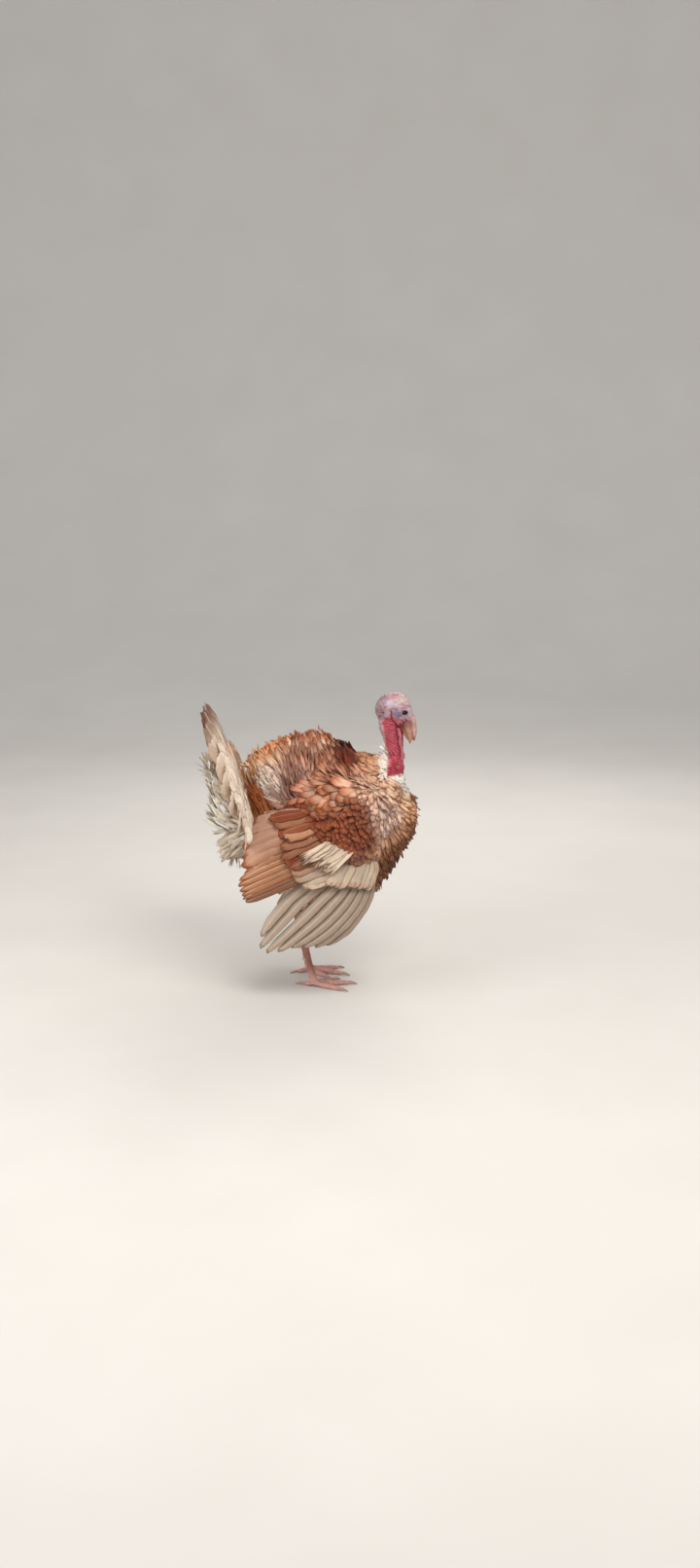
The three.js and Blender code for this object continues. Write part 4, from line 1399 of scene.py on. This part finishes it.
TAIL_ROWS = (
    # name, count, outermost, from, to, lean, ahead, width, ragged, tip colour
    ("tail_feathers", 18, 0.02, 0.10, 1.0, 0.0, 0, 70, 0.42, (104, 48, 27)),
    ("tail_coverts_front", 18, 0.04, 0.08, 0.66, -1.0, 7, 44, 0.5, (222, 176, 136)),
    ("tail_coverts_front_short", 18, 0.04, 0.06, 0.42, -3.0, 10, 38, 0.6, (214, 154, 104)),
    ("tail_coverts_back", 14, 0.16, 0.08, 0.62, 1.0, -7, 46, 0.6, (216, 196, 172)),
    ("tail_coverts_back_short", 14, 0.16, 0.06, 0.44, 3.0, -10, 40, 0.7, (214, 192, 168)),
)
for row, (name, count, outermost, start, end, lean, ahead, broad, ragged, tip_colour) in enumerate(TAIL_ROWS):
    rng = np.random.default_rng(400 + row)
    s = np.linspace(outermost, 1 - outermost, count)
    tilt = lean + rng.normal(0, 0.5, count)
    ragged = ragged * (0.5 + 0.5 * rng.random(count))
    reach = end * (1 + rng.normal(0, 0.02, count)) if row > 0 else end
    spine = [tail_point(s, share, tilt, ahead)[0] for share in (start, (start + end) / 2, reach)]
    forward = tail_point(s, start, tilt, ahead)[1]
    outward = unit(tail_point(s + 0.005, 1.0)[0] - tail_point(s - 0.005, 1.0)[0]) * np.sign(s - 0.5)[:, None]
    lowest = smooth_step(0.4, 0.26, np.minimum(s, 1 - s))[:, None]
    piece = quills(
        name,
        spine,
        outward=forward + np.where(s < 0.5, 0.5, 0.3)[:, None] * outward,
        width=np.full(count, float(broad)),
        rows=26,
        seed=410 + row,
        material=tail_vane,
        even_edge=3,
        ragged=ragged,
        split=0.14,
        profile=(0.12, 0.25, 0.55, 0.9, 1.0, 0.8),
        mid=np.tile(linear((240, 220, 200)), (count, 1)),
        rim=mixed(linear(tip_colour), linear((236, 214, 192)), lowest),
        rim_share=0.9,
        shaft=0.4,
    )
    if row == 0:
        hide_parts("tail_right", "tail_middle", "tail_left")

# the white, loose feathers that hang over the lowest feathers of the fan on both sides
FLUFF_COUNT = 150
FLUFF_AHEAD = (4, 12, 9)  # of the fan, at the root, the middle and the tip
for side_name, sign in SIDE_SIGNS:
    rng = np.random.default_rng(430 + sign)
    from_edge = rng.uniform(0.0, 0.3 if sign < 0 else 0.2, FLUFF_COUNT)
    turn = fan_angle(from_edge if sign < 0 else 1 - from_edge)
    out = FAN_LENGTH * (0.3 + (0.58 - 0.62 * from_edge) * rng.random(FLUFF_COUNT))
    across, up = out * np.sin(turn), out * np.cos(turn)
    length = rng.uniform(54, 84, FLUFF_COUNT)
    spine = []
    for share, ahead in zip((0.0, 0.5, 1.0), FLUFF_AHEAD):
        y, z = across + sign * 0.12 * share * length, up + share * length
        s = np.clip(np.degrees(np.arctan2(y, z)) / FAN_OPENING + 0.5, 0, 1)
        point, forward = tail_point(s, np.minimum(np.hypot(y, z) / FAN_LENGTH, 1.0), 0.0, ahead)
        spine.append(point)
    outward = forward + np.array([0, 0.75 * sign, 0]) + 0.25 * rng.normal(size=(FLUFF_COUNT, 3))
    ragged = rng.uniform(0.3, 0.6, FLUFF_COUNT)
    piece = quills(
        f"tail_fluff_{side_name}",
        spine,
        outward,
        width=rng.uniform(17, 27, FLUFF_COUNT),
        rows=10,
        seed=440 + sign,
        material=contour,
        columns=6,
        even_edge=1,
        ragged=ragged,
        split=0.3,
        camber=0.22,
        thick=0.6,
        variety=0.1,
        mid=np.tile(linear((242, 224, 204)), (FLUFF_COUNT, 1)),
        rim=np.tile(linear((232, 210, 188)), (FLUFF_COUNT, 1)),
        rim_share=0.6,
        shaft=0.2,
    )


# ---------------------------------------------------------------- bill, eyes, claws

BILL_STREAKS, CLAW_STREAKS = (1, 1, 0.2), (0.3, 0.3, 1)  # the noise's scale along each axis
upper_horn = horn_material(
    "bill_horn", (142, 92, 86), (184, 140, 112), (108, 70, 64), 0.640, 0.618, BILL_STREAKS
)
# the lower bill darkens and reddens toward its root: painted shade under the upper bill
lower_horn = horn_material(
    "lower_bill_horn", (112, 44, 46), (176, 130, 108), (90, 44, 44), 0.632, 0.606, BILL_STREAKS
)
claw_horn = horn_material(
    "claw_horn", (180, 150, 132), (206, 182, 164), (130, 102, 88), 0.0, 0.02, CLAW_STREAKS
)

for name, horn in (("bill_upper", upper_horn), ("bill_lower", lower_horn)):
    piece = one_form(f"{name}_horn", [name], 0.15, 0.7, 3)
    dressed(piece, horn)
    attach(piece, "root")
    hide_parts(name)

claw_nodes = TOE_CLAWS + [f"spur_{s}" for s in SIDES]
claws = one_form("claws_and_spurs", claw_nodes, 0.5, 0.8, 2)
claw_points = coordinates(claws.data)
claw_points[:, 2] = np.maximum(claw_points[:, 2], 0.0)
set_coordinates(claws.data, claw_points)
dressed(claws, claw_horn)
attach(claws, "root")
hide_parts(*claw_nodes)


def eye_material(sign):
    """Dark pupil, brown iris with radial streaks, and a dark rim, painted by angle from the eye's axis."""
    n = Nodes(f"eye_{sign}")
    centre = metres(np.array(EYE) * (1, sign, 1))
    place = n.place()
    local = n.add("ShaderNodeVectorMath", {0: place, 1: tuple(centre)}, operation="SUBTRACT").outputs[0]
    axis = tuple(unit(np.array(EYE_AXIS) * (1, sign, 1)))
    ray = n.add("ShaderNodeVectorMath", {0: local}, operation="NORMALIZE").outputs[0]
    facing_out = n.add("ShaderNodeVectorMath", {0: ray, 1: axis}, operation="DOT_PRODUCT").outputs["Value"]
    angle = n.math("ARCCOSINE", facing_out)
    streaks = n.noise(60.0, 2.0, 0.5, ray)
    iris = n.blend(streaks, rgba((24, 14, 11)), rgba((46, 27, 18)))
    colour = n.blend(n.ramp(angle, 0.42, 0.5), rgba((8, 6, 6)), iris)
    colour = n.blend(n.ramp(angle, 0.72, 0.86), colour, rgba((28, 20, 20)))
    normal = n.bump(streaks, 0.00005, 0.1)
    return n.finish(colour, n.ramp(streaks, 0.2, 0.8, 0.04, 0.08), normal, Specular_IOR_Level=0.3)


for side_name, sign in SIDE_SIGNS:
    piece = remeshed(joined_copy(f"eyeball_{side_name}", [f"eye_{side_name}"], 0.2), 0.8)
    co = millimetres(coordinates(piece.data))
    ray = unit(co - (co.min(axis=0) + co.max(axis=0)) / 2)
    cornea = 0.7 * smooth_step(0.80, 0.97, ray @ unit(np.array(EYE_AXIS) * (1, sign, 1)))
    centre = np.array(EYE) * (1, sign, 1)
    set_coordinates(piece.data, metres(centre + ray * (EYE_RADIUS - 0.3 + cornea)[:, None]))
    smoothed(piece, 2)
    dressed(piece, eye_material(sign))
    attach(piece, "root")
    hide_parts(f"eye_{side_name}")


# ---------------------------------------------------------------- floor, light, camera


def floor_material():
    n = Nodes("pale_floor")
    place = n.place()
    cloud = n.noise(3.0, 4.0, 0.5, place)
    colour = n.blend(cloud, rgba((214, 210, 204)), rgba((224, 221, 216)))
    return n.finish(colour, n.ramp(cloud, 0.3, 0.7, 0.75, 0.9), n.bump(cloud, 0.001, 0.05))


# The floor runs back to a sweep and up into a backdrop; these lengths are in metres.
FLOOR_FRONT = -9.0
FLOOR_HALF_WIDTH = 12.0
WALL = 6.0
WALL_TOP = 9.0
SWEEP = 3.0
SWEEP_STEPS = 16
profile_yz = [(FLOOR_FRONT, 0.0), (WALL - SWEEP, 0.0)]
for step in range(1, SWEEP_STEPS + 1):
    turn = math.radians(90 * step / SWEEP_STEPS)
    profile_yz.append((WALL - SWEEP + SWEEP * math.sin(turn), SWEEP * (1 - math.cos(turn))))
profile_yz.append((WALL, WALL_TOP))
floor_mesh = bpy.data.meshes.new("floor")
floor_mesh.from_pydata(
    [(side_x, y, z) for y, z in profile_yz for side_x in (-FLOOR_HALF_WIDTH, FLOOR_HALF_WIDTH)],
    [],
    [(2 * i, 2 * i + 1, 2 * i + 3, 2 * i + 2) for i in range(len(profile_yz) - 1)],
)
floor = add_object("floor", floor_mesh)
dressed(floor, floor_material())

world = bpy.data.worlds.new("studio")
bpy.context.scene.world = world
world.use_nodes = True
background = world.node_tree.nodes["Background"]
background.inputs["Color"].default_value = rgba((230, 230, 231))
background.inputs["Strength"].default_value = 0.7


def soft_light(name, place, size, power, tint):
    """A round lamp aimed at the bird; place and size are in metres."""
    light = bpy.data.lights.new(name, "AREA")
    light.shape = "DISK"
    light.size = size
    light.energy = power
    light.color = linear(tint)
    obj = add_object(name, light)
    obj.location = place
    obj.rotation_euler = (BIRD_MIDDLE - Vector(place)).to_track_quat("-Z", "Y").to_euler()


BIRD_MIDDLE = Vector((0.0, 0.0, 0.36))
soft_light("key", (0.9, -1.9, 2.6), 1.6, 53, (255, 250, 244))
soft_light("fill", (-1.8, -1.6, 1.4), 1.8, 25, (252, 248, 246))
soft_light("back", (0.4, 2.2, 2.2), 1.6, 30, (255, 252, 246))

CAMERA_PLACE = (360.85, -3861.54, 1276.5)
CAMERA_TURN = 4.0  # degrees from square-on, toward the bird's front
CAMERA_PITCH = 11.5  # degrees below level
CAMERA_LENS = 37.9652605  # mm of focal length, for a view 36 mm high
camera_data = bpy.data.cameras.new("camera")
camera_data.sensor_width = 36.0
camera_data.lens = CAMERA_LENS
camera = add_object("camera", camera_data)
camera.location = metres(CAMERA_PLACE)
camera.rotation_euler = (math.radians(90 - CAMERA_PITCH), 0.0, math.radians(CAMERA_TURN))
bpy.context.scene.camera = camera
bpy.context.scene.view_settings.view_transform = "Standard"
